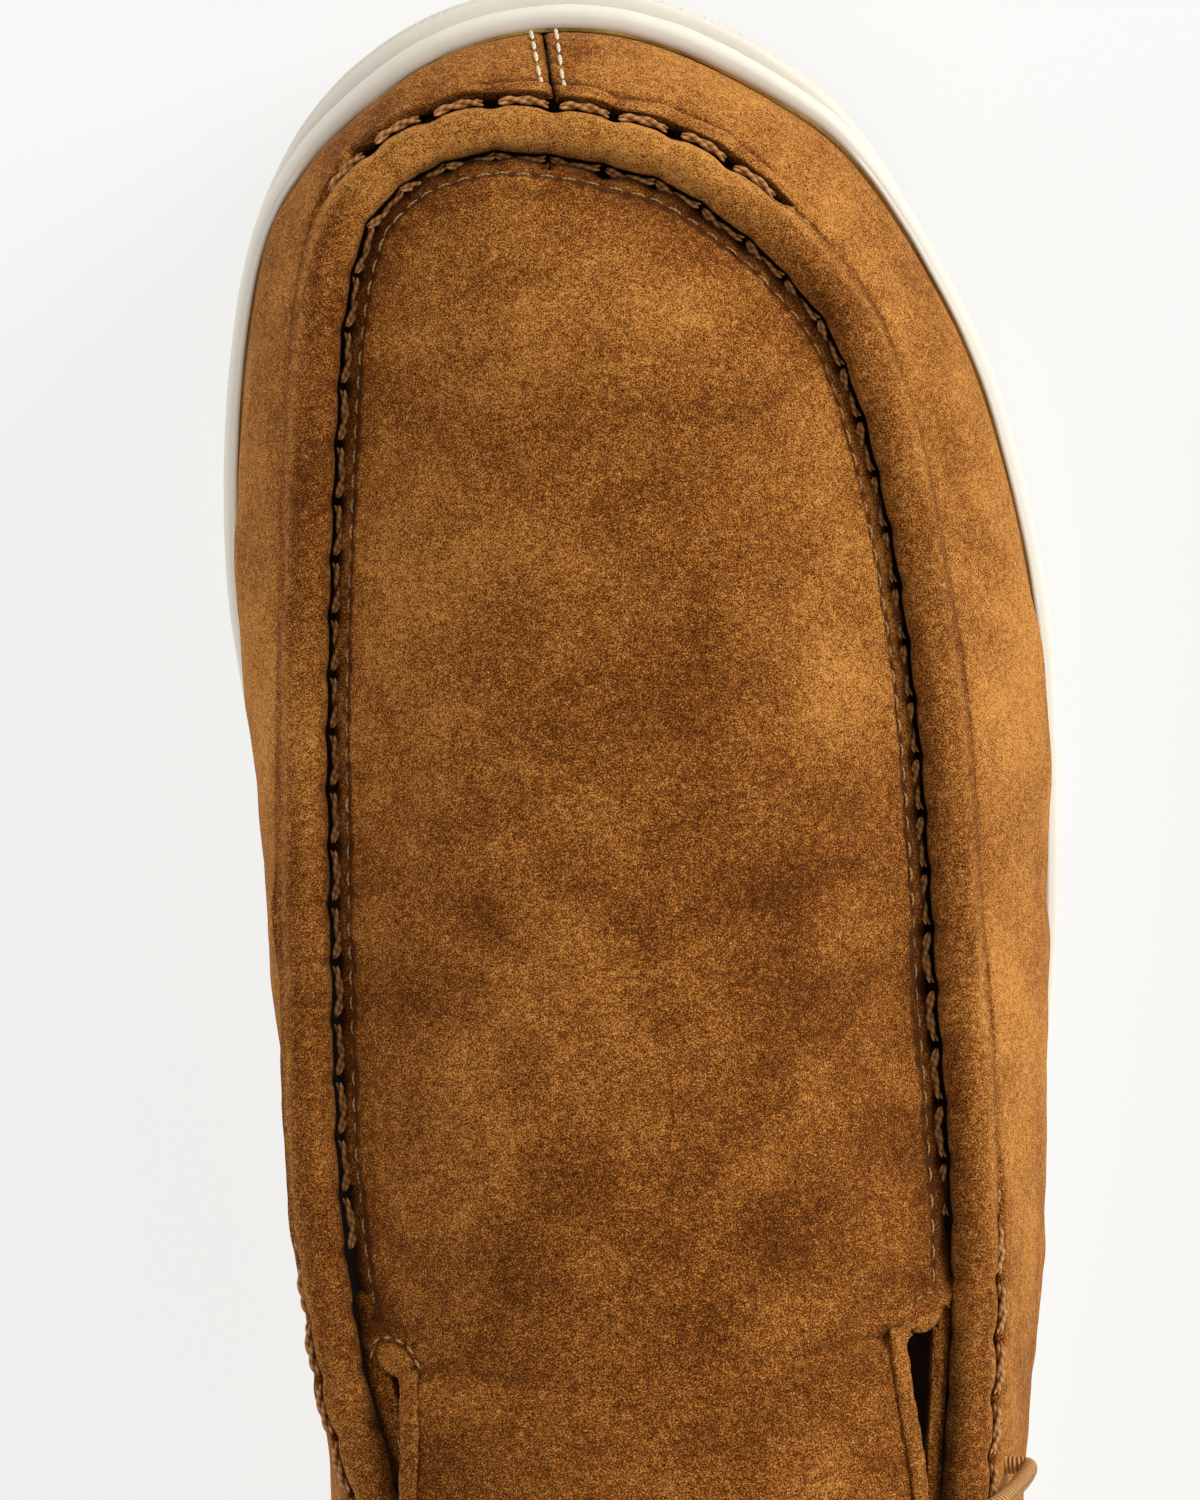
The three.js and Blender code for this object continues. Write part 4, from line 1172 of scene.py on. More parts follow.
@dataclass
class Walls:
    """Side leathers from the toe seam to the heel, with their puckers and creases."""

    thickness: float = 1.6
    cols: int = 84
    pitch: float = 3.0
    grids: dict = field(default_factory=dict)

    def face(self, start: float, end: float, rows: int) -> tuple[Array, Array]:
        """Outer face between two outline indices, with its relief.

        Returns:
            Grid of points and grid of tones.
        """
        i = np.linspace(start, end, rows)[:, None] * np.ones((1, self.cols))
        v = (np.linspace(0, 1, self.cols)[None] ** 0.85) * np.ones((rows, 1))
        base = LAST.wall(i, v)
        side = LAST.signed(i)
        height_left = (1 - v) * np.linalg.norm(base[:, -1:] - base[:, :1], axis=-1)
        arc = SEAM.arc_at(np.clip(side, -ROLL_END, ROLL_END))
        x, y, z = base[..., 0], base[..., 1], base[..., 2]
        seam = (np.abs(side) < ROLL_END).astype(float)
        toe = 1 - smooth(3.2, 6.0, np.abs(side))
        above = z - LAST.lift(y) - LAST.lip
        lip = smooth(2, 9, above)
        shown = SEAM.shown(side) * seam
        pull = np.exp(-height_left / 2.0) * SEAM.pinch(arc, 1.3) * shown
        swing = np.sin(arc * 2 * np.pi / SEAM.pitch + 0.6 * fractal(arc / 20, z / 9, 70))
        gathers = swing * np.exp(-height_left / 11) * toe * lip
        width = 1.9 + 0.35 * fractal(arc / 5, 0 * arc, 74)
        flap = (1 - smooth(width - 0.7, width + 0.25, height_left)) * shown
        under = np.exp(-((height_left - width - 0.5) / 0.5) ** 2) * shown
        along = y + LAST.length / 2
        flex = smooth(60, 85, along) * (1 - smooth(120, 150, along)) * lip
        ripple = np.sin((y * 0.8 + z * 0.55 + 2.6 * fractal(y / 14, z / 14, 61)) / 3.0)
        flex = flex * ripple * (0.4 + 0.6 * fractal(y / 20, z / 14, 66))
        heel_waves = smooth(190, 230, along) * np.sin((z + 2.5 * fractal(x / 18, y / 18, 81)) / 4.2)
        heel_waves = heel_waves * smooth(0, 1, 1 - height_left / 30) * lip
        soft = fractal((x + y) / 20, z / 14 + (y - x) / 40, 62) * 0.5 * lip
        seam_line = np.exp(-(side / 0.05) ** 2)
        height = soft - 0.5 * pull + 0.2 * gathers + (0.5 + 0.8 * toe) * flap - 0.5 * seam_line
        height = height + 0.22 * flex + 0.16 * heel_waves
        height = height * smooth(-1, 4, above)
        # Painted tones: darker at the stitch puckers, in a line under the flap, at the top edge where the
        # roll hides the stitches and just above the sole's lip (painted shadow and shade); lighter on
        # gather and flex crests and soft rises (partly rubbed wear, partly painted highlight); a dark toe
        # seam line; the lateral toe side lighter and the medial toe side darker, and the whole wall lighter
        # (painted light from the side lamps).
        tone = (-0.25 * pull + 0.07 * gathers - 0.02 * flap - 0.4 * under + 0.08 * flex
                - 0.28 * np.exp(-height_left / 0.6) * (seam - shown)
                - 0.25 * np.exp(-np.clip(above, 0, None) / 1.2) + 0.1 * soft
                - 0.4 * seam_line
                + np.where(side < 0, 0.10, -0.22) * toe * smooth(0.4, 1.4, np.abs(side)) + 0.16)
        normal = grid_normals(base)
        centre = np.array([MIDDLE, 0, 0])
        sign = np.sign(((base - centre) * normal * np.array([1, 0.3, 0]))[rows // 2].sum())
        return base + normal * sign * height[..., None], tone

    def panel(self, name: str, start: float, end: float, rows: int, node: str) -> bpy.types.Object:
        """One leather between two indices, in place of a CAD node."""
        grid, tone = self.face(start, end, rows)
        self.grids[name] = grid
        middle = grid[rows // 2, self.cols // 2]
        inward = unit(core(middle) - middle)
        facing = grid_normals(grid)[rows // 2, self.cols // 2] @ inward
        obj = shell(name, grid, self.thickness * (-1 if facing > 0 else 1))
        paint_shell(obj, tone)
        fit(obj, Finish.NUBUCK, (node,))
        return obj

    def build(self) -> None:
        """Two vamp sides, two quarters and the strip over the heel seam."""
        for side in Side:
            word, sign = side.word, side.value
            start, end = JOINT + 0.04, HEEL - 0.33
            self.panel(f"vamp_side_{word}", sign * 0.018, sign * JOINT, 460, f"vamp_{word}")
            self.panel(f"quarter_side_{word}", sign * start, sign * end, 200, f"quarter_{word}")
        self.panel("heel_seam_strip", HEEL - 0.31, HEEL + 0.31, 24, "heel_strip")

    def rows_of_stitches(self) -> None:
        """Cream rows beside the toe seam, and machine rows beside the quarter and heel seams."""
        sets = []
        for side in Side:
            word = side.word
            vamp, quarter = self.grids[f"vamp_side_{word}"], self.grids[f"quarter_side_{word}"]
            cream, plain = Finish.CREAM_THREAD, Finish.SEAM_THREAD
            sets += [(f"toe_seam_stitches_{word}", vamp, 2.7, (0.44, 0.93), cream, False, 0.26),
                     (f"joint_stitches_{word}_front", vamp, 2.2, (0.3, 0.9), plain, True, 0.27),
                     (f"joint_stitches_{word}_rear", quarter, 2.2, (0.3, 0.9), plain, False, 0.27),
                     (f"heel_stitches_{word}", quarter, 2.0, (0.3, 0.95), plain, True, 0.27)]
        for name, grid, inset, (low, high), finish, from_end, thick in sets:
            rows, cols = grid.shape[:2]
            steps = np.linalg.norm(np.diff(grid[:, cols // 2], axis=0), axis=-1).mean()
            row = int(round(inset / steps))
            row = rows - 1 - row if from_end else row
            line = grid[row, int(low * cols):int(high * cols)]
            normal = grid_normals(grid)[row, int(low * cols):int(high * cols)]
            middle = len(line) // 2
            normal = normal * np.sign((normal[middle] * (line[middle] - core(line[middle]))).sum())
            obj = stitch_row(name, line + normal * 0.15, normal, self.pitch, 2.35, thick, 0.12)
            fit(obj, finish)


@dataclass
class Edges:
    """Bindings: folded strips at the slits and the rolled top of the collar."""

    collar: float = 1.8
    slot: float = 2.3

    def width(self, side: Side, i: Array) -> Array:
        """Width of the leather between the roll and a slit, narrower on the lateral side."""
        return (2.9 if side is Side.MEDIAL else 2.2) - 0.3 * np.clip(i - SLIT, 0, None)

    def strip(self, side: Side) -> bpy.types.Object:
        """Leather between the roll and a slit, tucked under the plug at its front."""
        i = np.linspace(SLIT - 0.4, ROLL_END, 130)[:, None]
        q = np.linspace(0.0, 1.0, 22)[None]
        width = self.width(side, i)
        out = LAST.outward(LAST.topline, side.value * i)
        p = LAST.plug_edge(side.value * i) * np.ones((1, 22, 1)) - out * (width * q)[..., None]
        under = 1 - smooth(SLIT - 0.3, SLIT + 0.05, i)
        arc = SEAM.arc_at(side.value * i)
        p[..., 2] += 0.9 * q + 0.5 * np.sin(np.pi * q) - 0.9 * under
        p[..., 2] += 0.14 * fractal(arc / 5 + 0 * q, q * 2, 90) - 0.35 * SEAM.pinch(arc, 1.4) * (1 - q) ** 2
        up = np.sign(grid_normals(p)[60, 10, 2])
        obj = shell(f"slit_strip_{side.word}", p, 1.7 * up, round_edge=0.55)
        # Painted tones: darkest beside the roll (painted shade), a little darker all over, and paler
        # towards the slit's edge.
        paint_shell(obj, -0.35 * np.exp(-q * width / 0.7) - 0.08 + 0.08 * smooth(0.7, 1, q))
        fit(obj, Finish.NUBUCK, (f"slit_binding_{side.word}",))
        if side is Side.MEDIAL:
            line = p[40:-8, 13]
            row = stitch_row("strip_stitches", line, np.tile(LEVEL_UP, (len(line), 1)), 2.6, 1.6, 0.16, 0.1)
            fit(row, Finish.SEAM_THREAD)
        return obj

    def tab(self, side: Side) -> bpy.types.Object:
        """Small rounded patch that stops the slit's end, with a row of stitches round its front."""
        half_width, rung = 36.3, 20.0    # half the plug's width, and the length of one index there
        width = self.width(side, np.array(SLIT)) + self.slot / 2

        def place(x: Array, y: Array, lift: Array) -> Array:
            """Point beside the slit's end: x outwards and y forwards in millimetres, over the plug."""
            i, across = SLIT - 0.07 - y / rung, side.value * (1 - (width - x) / half_width)
            p = LAST.plug(i, across)
            p[..., 2] += lift
            return p

        t, q = np.meshgrid(np.linspace(-1, 1, 28), np.linspace(-1, 1, 28), indexing="ij")
        x, y = t * np.sqrt(1 - q * q / 2), q * np.sqrt(1 - t * t / 2)
        crown = 0.6 * (1 - x * x - y * y) + 0.12 * fractal(x * 3, y * 3, 130)
        grid = place(x * 2.4, y * 2.4, 0.55 + crown)
        up = np.sign(grid_normals(grid)[14, 14, 2])
        obj = shell(f"slit_tab_{side.word}", grid, 1.5 * up, round_edge=0.2)
        # Painted shade: a dark rim round the patch's edge, where it meets the plug.
        paint_shell(obj, 0.04 - 0.6 * np.clip(x * x + y * y, 0, 1) ** 6)
        fit(obj, Finish.ROLL)
        turn = np.linspace(0.05, np.pi - 0.05, 40)[:, None]
        ring = place(np.cos(turn[:, 0]) * 2.9, np.sin(turn[:, 0]) * 2.9, np.full(40, 0.75))
        up_each = np.tile(LEVEL_UP, (40, 1))
        row = stitch_row(f"slit_tab_stitches_{side.word}", ring, up_each, 1.9, 1.3, 0.16, 0.1)
        fit(row, Finish.SEAM_THREAD)
        return obj

    def tongue_fold(self, side: Side, plug: Plug) -> bpy.types.Object:
        """Flat folded binding laid along the tongue's edge, on the leather's surface."""
        col = -4 if side is Side.MEDIAL else 3
        rows = slice(plug.rows_front - 2, -14)
        normal = grid_normals(plug.grid)[rows, col]
        normal = normal * np.sign(normal[:, 2:])
        path = resample(plug.grid[rows, col] + normal * 0.15, 0.5)
        up = spread(normal, len(path))
        columns = [np.pad(path[:, k], 3, "edge") for k in range(3)]
        path = np.stack([np.convolve(column, np.ones(7) / 7, "valid") for column in columns], -1)

        def section(u: Array, a: Array) -> tuple[Array, Array]:
            """Flat oval with small dents where it is stitched."""
            dent = 1 - 0.10 * np.exp(-((((u / 3.0) % 1) - 0.5) / 0.18) ** 2)
            return 1.5 * np.cos(a) * dent, (0.5 + 0.06 * fractal(u / 5, a, 140)) * np.sin(a) * dent

        obj = sweep(f"slit_fold_{side.word}", path, section, 16, up)
        paint(obj, "tone", np.full(len(obj.data.vertices), -0.05))
        WARDROBE.dress(obj, Finish.ROLL)
        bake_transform(obj)
        return obj

    def collar_roll(self) -> bpy.types.Object:
        """Rolled binding along the collar's top."""
        i = np.linspace(ROLL_END + 0.32, 2 * HEEL - ROLL_END - 0.32, 700)
        path = resample(LAST.at(LAST.topline, i), 0.6)

        def section(u: Array, a: Array) -> tuple[Array, Array]:
            """Round section with soft lumps and a faint pinch at each stitch."""
            pinch = np.exp(-((((u / 3.2) % 1) - 0.5) / 0.16) ** 2)
            r = self.collar + fractal(u / 12, a, 95) * 0.12 - 0.07 * pinch
            return r * np.cos(a), r * np.sin(a)

        obj = sweep("collar_roll", path, section, 22, LEVEL_UP)
        paint(obj, "tone", np.full(len(obj.data.vertices), 0.04))
        fit(obj, Finish.ROLL, ("collar_binding",))
        out = LAST.outward(LAST.topline, np.linspace(i[0], i[-1], len(path)))
        line = path + out * 2.1
        line[:, 2] -= 2.6
        line, out = (line - out * 1.4)[6:-6], out[6:-6]
        row = stitch_row("collar_stitches", line, out, 3.2, 2.4, 0.27, 0.1)
        fit(row, Finish.SEAM_THREAD)
        return obj


@dataclass
class Linings:
    """Soft inside faces: vamp, padded quarters, and the footbed."""

    lining_depth: float = 3.3
    sheet: float = 0.8
    foam: float = 5.0
    shank: float = 1.2
    board: float = 2.0
    bowl: float = 1.6
    footbed_gap: float = 0.7
    around: int = 300

    def padding(self, i: Array, v: Array) -> Array:
        """Thickness of the collar's foam: rises behind the roll's end and towards the top."""
        place = np.abs(LAST.signed(i))
        along = smooth(ROLL_END + 0.2, ROLL_END + 2, place)
        return self.foam * along * smooth(0.55, 0.72, v) * (1 - 0.75 * smooth(0.88, 1, v))

    def panel(self, name: str, start: float, end: float, top: float, rows: int,
              *nodes: str) -> bpy.types.Object:
        """Lining between two indices, sunk under the wall by its depth and the padding."""
        i = np.linspace(start, end, rows)[:, None] * np.ones((1, 48))
        v = np.linspace(0, top, 48)[None] * np.ones((rows, 1))
        face = LAST.wall(i, v)
        normal = grid_normals(face)
        middle = face[rows // 2, 24]
        normal = normal * np.sign((normal[rows // 2, 24] * (middle - core(middle))).sum())
        closing, pad = smooth(0.86, 1, v), self.padding(i, v)
        depth = self.lining_depth * (1 - 0.7 * closing) + pad * (1 - closing)
        quilt = 0.25 * fractal((i * 12) / 14, v * 3, 100)
        inner = face - normal * (depth + self.sheet + quilt)[..., None]
        way = 1 if (grid_normals(inner)[rows // 2, 24] * normal[rows // 2, 24]).sum() < 0 else -1
        obj = shell(name, inner, (self.sheet + 0.9 * pad * (1 - closing)) * way, round_edge=0.2)
        fit(obj, Finish.LINING, nodes)
        return obj

    def footbed(self) -> bpy.types.Object:
        """Cupped footbed: rings from the rim in, sinking to a gentle bowl at the heel."""
        inside = LAST.clearance + self.lining_depth + self.sheet + self.footbed_gap
        base = LAST.floor + LAST.gap + self.shank + LAST.gap + self.board + LAST.gap
        i = np.linspace(0, 2 * HEEL, self.around, endpoint=False)
        steps = [(0, 0), (0, 4.0), (0.7, 4.5)]
        for t in np.linspace(0.03, 1, 14):
            steps.append((0.7 + 26 * t, 4.5 - self.bowl * math.sin(min(1, t * 2.2) * math.pi / 2)))
        rings = []
        for extra, rise in steps:
            inset = LAST.lip_inset(i) + inside + extra * 0.9
            rings.append(LAST.sole_point(i, inset, np.full(self.around, base + rise)))
        obj = closed_rings("cupped_footbed", np.stack(rings))
        fit(obj, Finish.LINING, ("footbed",))
        return obj


@dataclass
class Sole:
    """Cup sole with its toe bumper, line, bead and lip, and the tread underneath."""

    around: int = 760
    tread: float = 2.0
    tread_inset: float = 6.0
    round_end: float = 3.0

    def profile(self) -> Array:
        """Smooth section: rows of fixed inset, share of the bumper, share of the lip, and height."""
        corners = np.array([
            (4.2, 0, 0, 2.35), (2.0, 0, 0, 2.35), (0.7, 0, 0, 3.0), (0.15, 0, 0, 4.6), (0, 0, 0, 6.5),
            (0, 0, 0, 10.5), (0.05, 0, 0, 13.6), (0.35, 0.15, 0, 14.8), (0.95, 0.75, 0, 15.35),
            (1.05, 1, 0, 15.75), (0.8, 1, 0, 16.1), (0.25, 1, 0, 16.3), (0.1, 1, 0, 16.8),
            (0.1, 1, 0, 17.4), (0.3, 1, 0, 17.9), (0.75, 1, 0, 18.1), (0.8, 1, 0, 18.4),
            (0.35, 1, 0, 18.6), (0.12, 1, 0, 19.2), (0.12, 1, 0, 20.2), (0.3, 1, 0, 21.3),
            (0.75, 1, 0, 22.3), (1.2, 0.9, 0.1, 22.85), (1.0, 0.4, 0.55, 23.0), (0.2, 0, 1, 22.75),
            (0.02, 0, 1, 22.2), (0, 0, 1, 20.0), (0, 0, 1, 12.0), (8, 0, 1, 12.0)])
        t = np.arange(len(corners))
        fine = np.linspace(0, len(corners) - 1, 110)
        soft = np.stack([np.interp(fine, t, corners[:, k]) for k in range(4)], -1)
        for _ in range(2):
            soft[1:-1] = (soft[:-2] + 2 * soft[1:-1] + soft[2:]) / 4
        return soft

    def build(self) -> bpy.types.Object:
        """Rings of the section carried round the outline, with both ends filled by thin rows."""
        i = np.linspace(0, 2 * HEEL, self.around, endpoint=False)
        rings, stipple, tone = [], [], []
        toe = 1 - smooth(3.6, 5.4, np.abs(LAST.signed(i)))
        for inset, bumper, lip, height in self.profile():
            total = inset + bumper * LAST.bumper_inset(i) + lip * LAST.lip_inset(i)
            if height > 14:
                total = np.where(lip > 0.5, total, np.minimum(total, LAST.lip_inset(i) - 0.5))
            wave = 0.05 * fractal(i * 3, height / 4 + 0 * i, 7)
            rings.append(LAST.sole_point(i, total + wave, np.full(self.around, height)))
            band = float(5.0 < height < 14.2 and lip == 0)
            stipple.append(band * (0.35 + 0.65 * toe))
            # Painted tones: darker along the two moulded lines, and much darker on the lip's inner face
            # down into the cup (painted shade).
            groove = 0.30 * math.exp(-((height - 15.7) / 0.5) ** 2)
            groove = groove + 0.26 * math.exp(-((height - 18.25) / 0.3) ** 2)
            inner = 0.5 * float(lip > 0.97 and height < 22.4)
            tone.append(-groove * (lip < 0.5) - inner + 0 * i)
        obj = closed_rings("cup_sole", np.stack(rings))
        paint(obj, "stipple", np.concatenate([stipple[0][None], np.stack(stipple), stipple[-1][None]]))
        paint(obj, "tone", np.concatenate([tone[0][None], np.stack(tone), tone[-1][None]]))
        fit(obj, Finish.SOLE, ("cupsole",))
        return obj

    def cement(self) -> bpy.types.Object:
        """Thin amber line of cement where the leather meets the lip."""
        i = np.linspace(0, 2 * HEEL, 700, endpoint=False)
        height = np.full(700, LAST.lip - 0.75) + 0.12 * fractal(i * 2, i * 0, 17)
        path = LAST.sole_point(i, LAST.lip_inset(i) + 0.2, height)

        def section(u: Array, a: Array) -> tuple[Array, Array]:
            """Round section that swells and thins along the seam."""
            r = 0.46 + 0.14 * fractal(u / 6, u * 0, 18)
            return r * np.cos(a), r * np.sin(a)

        obj = sweep("cement_line", path, section, 8, LEVEL_UP, True)
        fit(obj, Finish.CEMENT)
        return obj

    def tread_plate(self, name: str, s0: float, s1: float, node: str) -> bpy.types.Object:
        """Rubber insert with wave grooves: its underside's height is a sine of the distance back.

        Args:
            name: piece name. s0, s1: ends, as distances from the toe. node: CAD node it replaces.
        Returns:
            The plate.
        """
        rows, cols = 330, 90
        index = np.linspace(0, HEEL, 900)
        inset, ground = np.full(900, self.tread_inset), np.zeros(900)
        sides = [LAST.sole_point(sign * index, inset, ground) for sign in (1, -1)]
        s = np.linspace(s0, s1, rows)
        y = s - LAST.length / 2
        medial, lateral = (np.interp(y, p[:, 1], p[:, 0]) for p in sides)
        to_end = np.minimum(s - s0, s1 - s) / self.round_end
        close = np.minimum(1, np.sqrt(np.clip(to_end, 0, 1)) * 0.18 + 0.82)
        mid, half = (medial + lateral) / 2, (medial - lateral) / 2 * close
        r = np.linspace(-1, 1, cols)[None]
        x = mid[:, None] + half[:, None] * r
        yy = y[:, None] + 0 * x
        wave = np.sin((s[:, None] + 2.2 * np.sin(x / 5.5)) * 2 * np.pi / 7.0)
        groove = smooth(0.45, 0.85, wave) * (1 - smooth(0.86, 0.93, np.abs(r)))
        z = 1.35 * groove + LAST.lift(yy)
        top = np.stack([x, yy, self.tread + LAST.lift(yy)], -1)
        obj = self.slab(name, top, np.stack([x, yy, z], -1))
        fit(obj, Finish.TREAD, (node,))
        return obj

    def slab(self, name: str, top: Array, bottom: Array) -> bpy.types.Object:
        """Closed block between two grids of one size."""
        rows, cols = top.shape[:2]
        n = rows * cols
        edge = border(rows, cols)
        after = np.roll(edge, -1)
        faces = grid_quads(rows, cols)
        rim = np.stack([edge, edge + n, after + n, after], -1)
        points = np.concatenate([top.reshape(-1, 3), bottom.reshape(-1, 3)])
        side = faces[0]
        turn = list(side).index(edge[0])
        if side[(turn + 1) % 4] == edge[1]:
            rim = rim[:, ::-1]
        return finish_mesh(name, points, np.concatenate([faces, faces[:, ::-1] + n, rim]))


@dataclass
class Lace:
    """Elastic cord through the four holes, crossing over the tongue."""

    radius: float = 1.1
    clearance: float = 0.7
    front: float = 11.2
    rear: float = 12.45
    height: float = 0.9
    slack: float = 0.6

    def eyelet(self, i: float) -> tuple[Array, Array]:
        """Centre of a hole on the wall's outer face, and the direction out of it."""
        def face(a: float, v: float) -> Array:
            """One point of the wall."""
            return LAST.wall(np.array([a]), np.array([v]))[0]
        along = face(i + 0.01, self.height) - face(i - 0.01, self.height)
        up = face(i, self.height + 0.01) - face(i, self.height - 0.01)
        out = unit(np.cross(along, up))
        centre = face(i, self.height)
        return centre, out * np.sign(out[0] * i)

    def strand(self, sign: int, lift: float) -> list[Array]:
        """Route points of one crossing, from a front hole over the tongue to the rear hole opposite."""
        ride = self.radius + LAST.gap
        inside = 3.3 + 0.8 + ride + self.clearance
        reach = LAST.roll + ride + self.slack

        def through(i: float) -> list[Array]:
            """Points that run straight out through a hole."""
            centre, out = self.eyelet(i)
            return [centre + out * d for d in (-inside, -inside / 2, 1, ride + 1)]

        def roll(i: float, side: float, top: float) -> Array:
            """Point over the roll at an index."""
            where = np.array([i])
            out = LAST.outward(LAST.topline, where)[0] * side * reach
            return LAST.at(LAST.topline, where)[0] + out + np.array([0, 0, top * reach])

        s0, s1 = (LAST.at(LAST.topline, np.array([i]))[0, 1] + LAST.length / 2
                  for i in (self.front, self.rear))
        middle = []
        for across in (0.5 * sign, 0.0, -0.5 * sign):
            s = s0 + (s1 - s0) * (0.5 - sign * across / 2.6)
            point = LAST.tongue(np.array([s]), np.array([across]))[0]
            middle.append(point + np.array([0, 0, ride + LAST.gap + (lift if across == 0 else lift / 3)]))
        a, b = self.front, self.rear
        return [*through(sign * a), roll(sign * (a + 0.08), 0.8, 0.6), roll(sign * (a + 0.15), 0, 1),
                *middle, roll(-sign * (b - 0.15), 0, 1), roll(-sign * (b - 0.08), 0.8, 0.6),
                *through(-sign * b)[::-1]]

    def route(self) -> Array:
        """Centripetal curve through both strands."""
        points = np.array([*self.strand(1, 0.0), *self.strand(-1, 2 * self.radius + LAST.gap)])
        first, last = 2 * points[0] - points[1], 2 * points[-1] - points[-2]
        p = np.concatenate([[first], points, [last]])
        knots = np.concatenate([[0], np.cumsum(np.sqrt(np.linalg.norm(np.diff(p, axis=0), axis=1)))])
        out = []
        for k in range(1, len(p) - 2):
            t = np.linspace(knots[k], knots[k + 1], 40, endpoint=k == len(p) - 3)[:, None]
            t0, t1, t2, t3 = knots[k - 1:k + 3]
            a1 = (t1 - t) / (t1 - t0) * p[k - 1] + (t - t0) / (t1 - t0) * p[k]
            a2 = (t2 - t) / (t2 - t1) * p[k] + (t - t1) / (t2 - t1) * p[k + 1]
            a3 = (t3 - t) / (t3 - t2) * p[k + 1] + (t - t2) / (t3 - t2) * p[k + 2]
            b1 = (t2 - t) / (t2 - t0) * a1 + (t - t0) / (t2 - t0) * a2
            b2 = (t3 - t) / (t3 - t1) * a2 + (t - t1) / (t3 - t1) * a3
            out.append((t2 - t) / (t2 - t1) * b1 + (t - t1) / (t2 - t1) * b2)
        return np.concatenate(out)

    def build(self) -> None:
        """Ribbed cord, and a knot behind each of the two end holes."""
        path = resample(self.route(), 0.3)

        def section(u: Array, a: Array) -> tuple[Array, Array]:
            """Round section, a little uneven; the sheath's ribs are in its finish."""
            r = self.radius * (1 + 0.015 * fractal(u / 3, a, 150))
            return r * np.cos(a), r * np.sin(a)

        obj = sweep("elastic_lace", path, section, 20, np.array([0.02, 1.0, 0.05]))
        fit(obj, Finish.LACE, ("lace",))
        for name, end, way in (("lace_knot_front", path[0], path[0] - path[6]),
                               ("lace_knot_rear", path[-1], path[-1] - path[-7])):
            t = np.linspace(0, 2 * np.pi, 160, endpoint=False)
            axis = unit(way)
            side = unit(np.cross(axis, LEVEL_UP))
            top = np.cross(side, axis)
            r = 1.0 + 0.45 * np.cos(3 * t)
            coil = (end + axis * (0.6 + 0.5 * np.sin(3 * t))[:, None] + side * (r * np.cos(2 * t))[:, None]
                    + top * (r * np.sin(2 * t))[:, None])
            knot = sweep(name, coil, round_profile(0.85), 12, np.array([0.3, 0.5, 0.8]), True)
            fit(knot, Finish.LACE)


# ---------------------------------------------------------------- studio and order of work

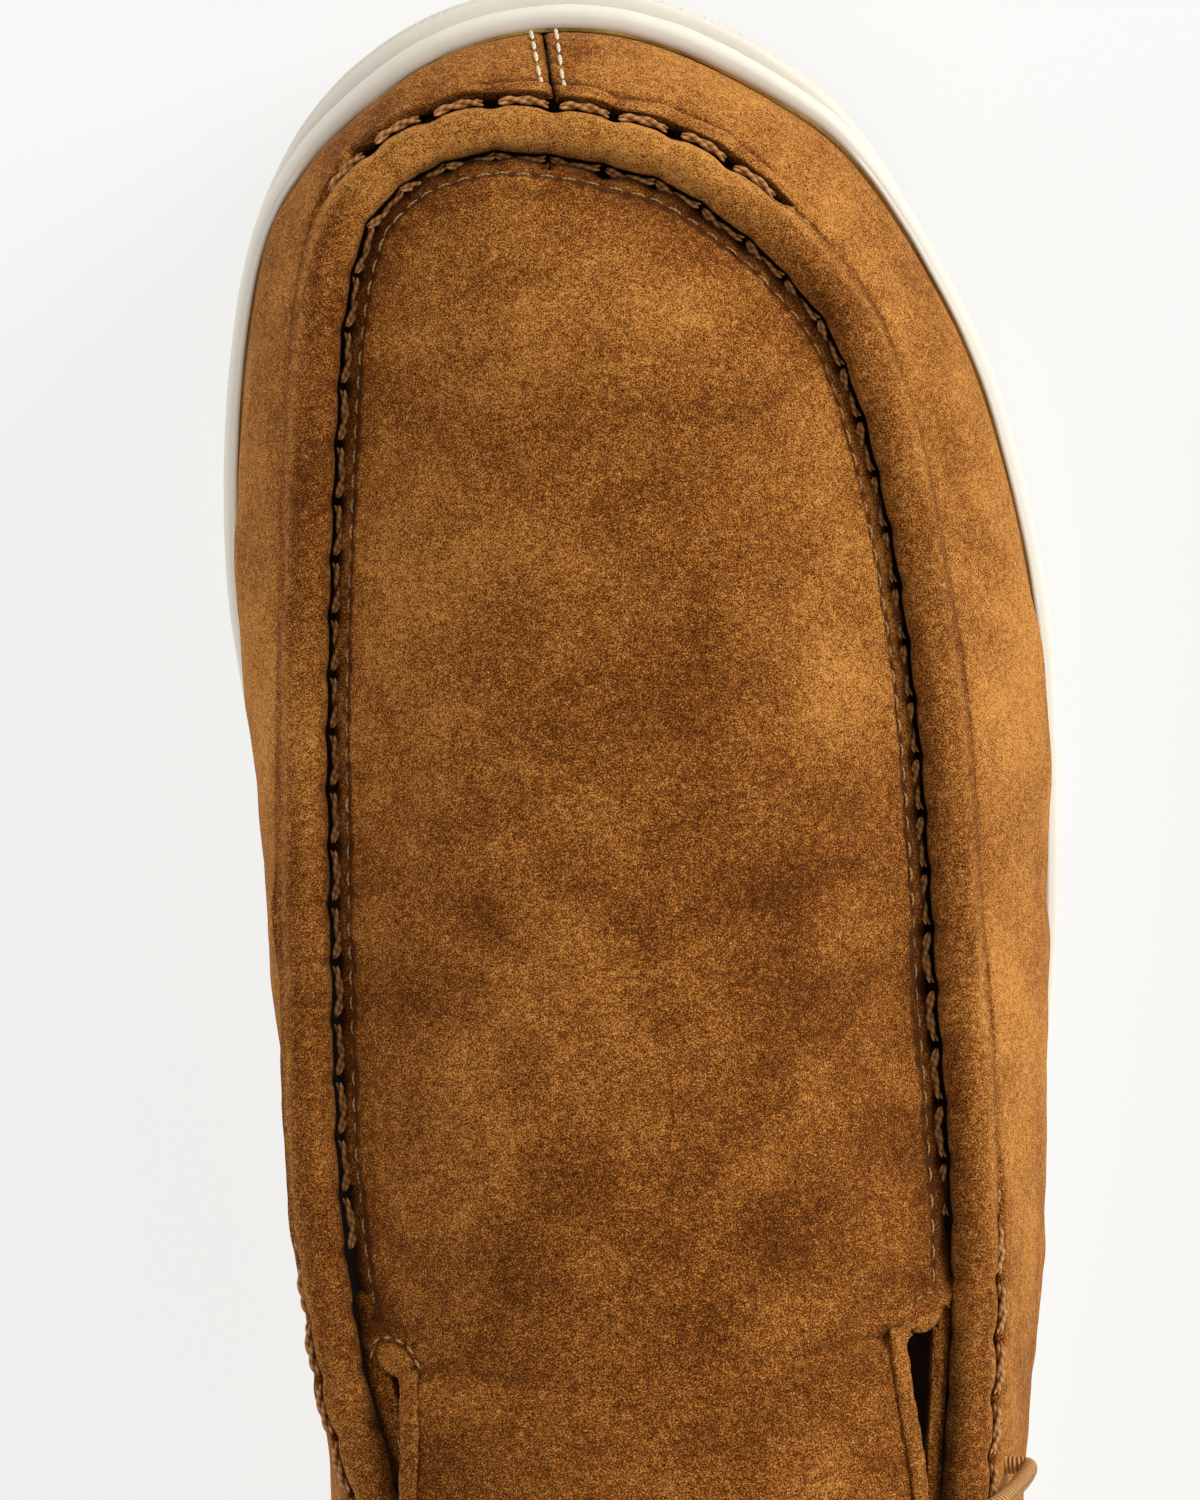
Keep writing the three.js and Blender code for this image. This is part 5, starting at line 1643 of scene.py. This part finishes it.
@dataclass
class Studio:
    """Pale floor, soft lights and the camera."""

    lens: float = 64.8
    eye: tuple = (0.0067, -0.1444, 0.560)
    tilt: float = 10.0
    roll: float = 4.0
    glow: float = 0.74

    def camera(self) -> None:
        """Looks down at the toe, tilted a little towards the heel and turned about its own axis."""
        data = bpy.data.cameras.new("camera")
        data.sensor_fit = "VERTICAL"
        data.sensor_height = 24.0
        data.lens = self.lens
        data.clip_start = 0.01
        tilt, turn = math.radians(self.tilt), math.radians(self.roll)
        look = np.array([0, math.sin(tilt), -math.cos(tilt)])
        up0, right0 = np.array([0, -math.cos(tilt), -math.sin(tilt)]), np.array([-1.0, 0, 0])
        up = math.cos(turn) * up0 + math.sin(turn) * right0
        right = math.cos(turn) * right0 - math.sin(turn) * up0
        matrix = Matrix.Identity(4)
        for row in range(3):
            matrix[row] = (right[row], up[row], -look[row], self.eye[row])
        obj = bpy.data.objects.new("camera", data)
        obj.matrix_world = matrix
        bpy.context.collection.objects.link(obj)
        bpy.context.scene.camera = obj

    def light(self, name: str, place: tuple, size: float, power: float, shade: tuple) -> None:
        """Square soft light at a place, turned to the shoe's front."""
        data = bpy.data.lights.new(name, "AREA")
        data.size, data.energy, data.color = size, power, shade
        obj = bpy.data.objects.new(name, data)
        back = unit(np.array(place) - np.array([0, -0.05, 0.04]))
        side = unit(np.cross([0, 1, 0.01], back))
        top = np.cross(back, side)
        obj.matrix_world = Matrix([[side[k], top[k], back[k], place[k]] for k in range(3)] + [[0, 0, 0, 1]])
        bpy.context.collection.objects.link(obj)

    def build(self) -> None:
        """Floor, world, lights and camera."""
        half, under = 3.0, -0.0004
        corners = [(x * half, y * half, under) for x, y in ((-1, -1), (1, -1), (1, 1), (-1, 1))]
        mesh = bpy.data.meshes.new("floor")
        mesh.from_pydata(corners, [], [(0, 1, 2, 3)])
        floor = bpy.data.objects.new("floor", mesh)
        bpy.context.collection.objects.link(floor)
        paper = Shader("paper", specular=0.1)
        soft = paper.noise(120, 2) - 0.5
        paper.surface.inputs["Emission Color"].default_value = (0.98, 0.98, 0.97, 1)
        paper.surface.inputs["Emission Strength"].default_value = self.glow
        shade = (0.5 + soft * 0.2).clamp()
        shade = paper.ramp(shade, (0.0, colour(128, 128, 127)), (1.0, colour(136, 136, 135)))
        floor.data.materials.append(paper.finish(shade, 0.9))
        world = bpy.data.worlds.new("studio")
        bpy.context.scene.world = world
        world.use_nodes = True
        sky = world.node_tree.nodes["Background"]
        sky.inputs["Color"].default_value = (1.0, 0.99, 0.975, 1)
        sky.inputs["Strength"].default_value = 0.46
        self.light("key", (-2.0, -1.2, 0.9), 1.3, 58.0, (1.0, 0.99, 0.97))
        self.light("fill", (1.9, -0.9, 1.0), 1.4, 16.0, (0.99, 0.995, 1.0))
        self.light("back", (-0.4, 2.2, 1.2), 1.2, 9.0, (1.0, 0.99, 0.97))
        bpy.context.scene.view_settings.view_transform = "Standard"
        self.camera()


HIDDEN_NODES = {
    "shank": Finish.STEEL, "insole_board": Finish.BOARD, "toe_puff": Finish.BOARD,
    "heel_counter": Finish.BOARD, "roll_cord": Finish.FOAM, "vamp_lining": Finish.LINING,
    "eyelet_medial_front": Finish.STEEL, "eyelet_lateral_front": Finish.STEEL,
    "eyelet_medial_rear": Finish.STEEL, "eyelet_lateral_rear": Finish.STEEL,
}


def main() -> None:
    """Builds every sub-assembly in order."""
    logging.basicConfig(level=logging.INFO, format="%(name)s %(message)s")
    Studio().build()
    for node, finish in HIDDEN_NODES.items():
        WARDROBE.dress(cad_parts[node], finish)
    sole = Sole()
    sole.build()
    sole.cement()
    sole.tread_plate("forefoot_tread_rubber", 9, 150, "forefoot_tread")
    sole.tread_plate("heel_tread_rubber", 214, 295, "heel_tread")
    linings = Linings()
    linings.footbed()
    linings.panel("vamp_inside", -JOINT, JOINT, 0.9, 300, "vamp_lining")
    behind = JOINT + 0.06
    quarters = linings.panel("quarter_inside", behind, 2 * HEEL - behind, 1.0, 240,
                             "quarter_lining", "collar_foam")
    walls = Walls()
    walls.build()
    walls.rows_of_stitches()
    plug = Plug()
    plug.build()
    plug.lining()
    plug.seam_row()
    roll = Roll()
    roll.build()
    roll.hand_stitches("hand_stitches_outer", 3.15, 0.75, 12.9, 1.0)
    roll.hand_stitches("hand_stitches_inner", -3.45, 0.95, 9.6, 0.0)
    edges = Edges()
    for side in Side:
        edges.strip(side)
        edges.tab(side)
        edges.tongue_fold(side, plug)
    edges.collar_roll()
    Lace().build()


if __name__ == "__main__":
    main()
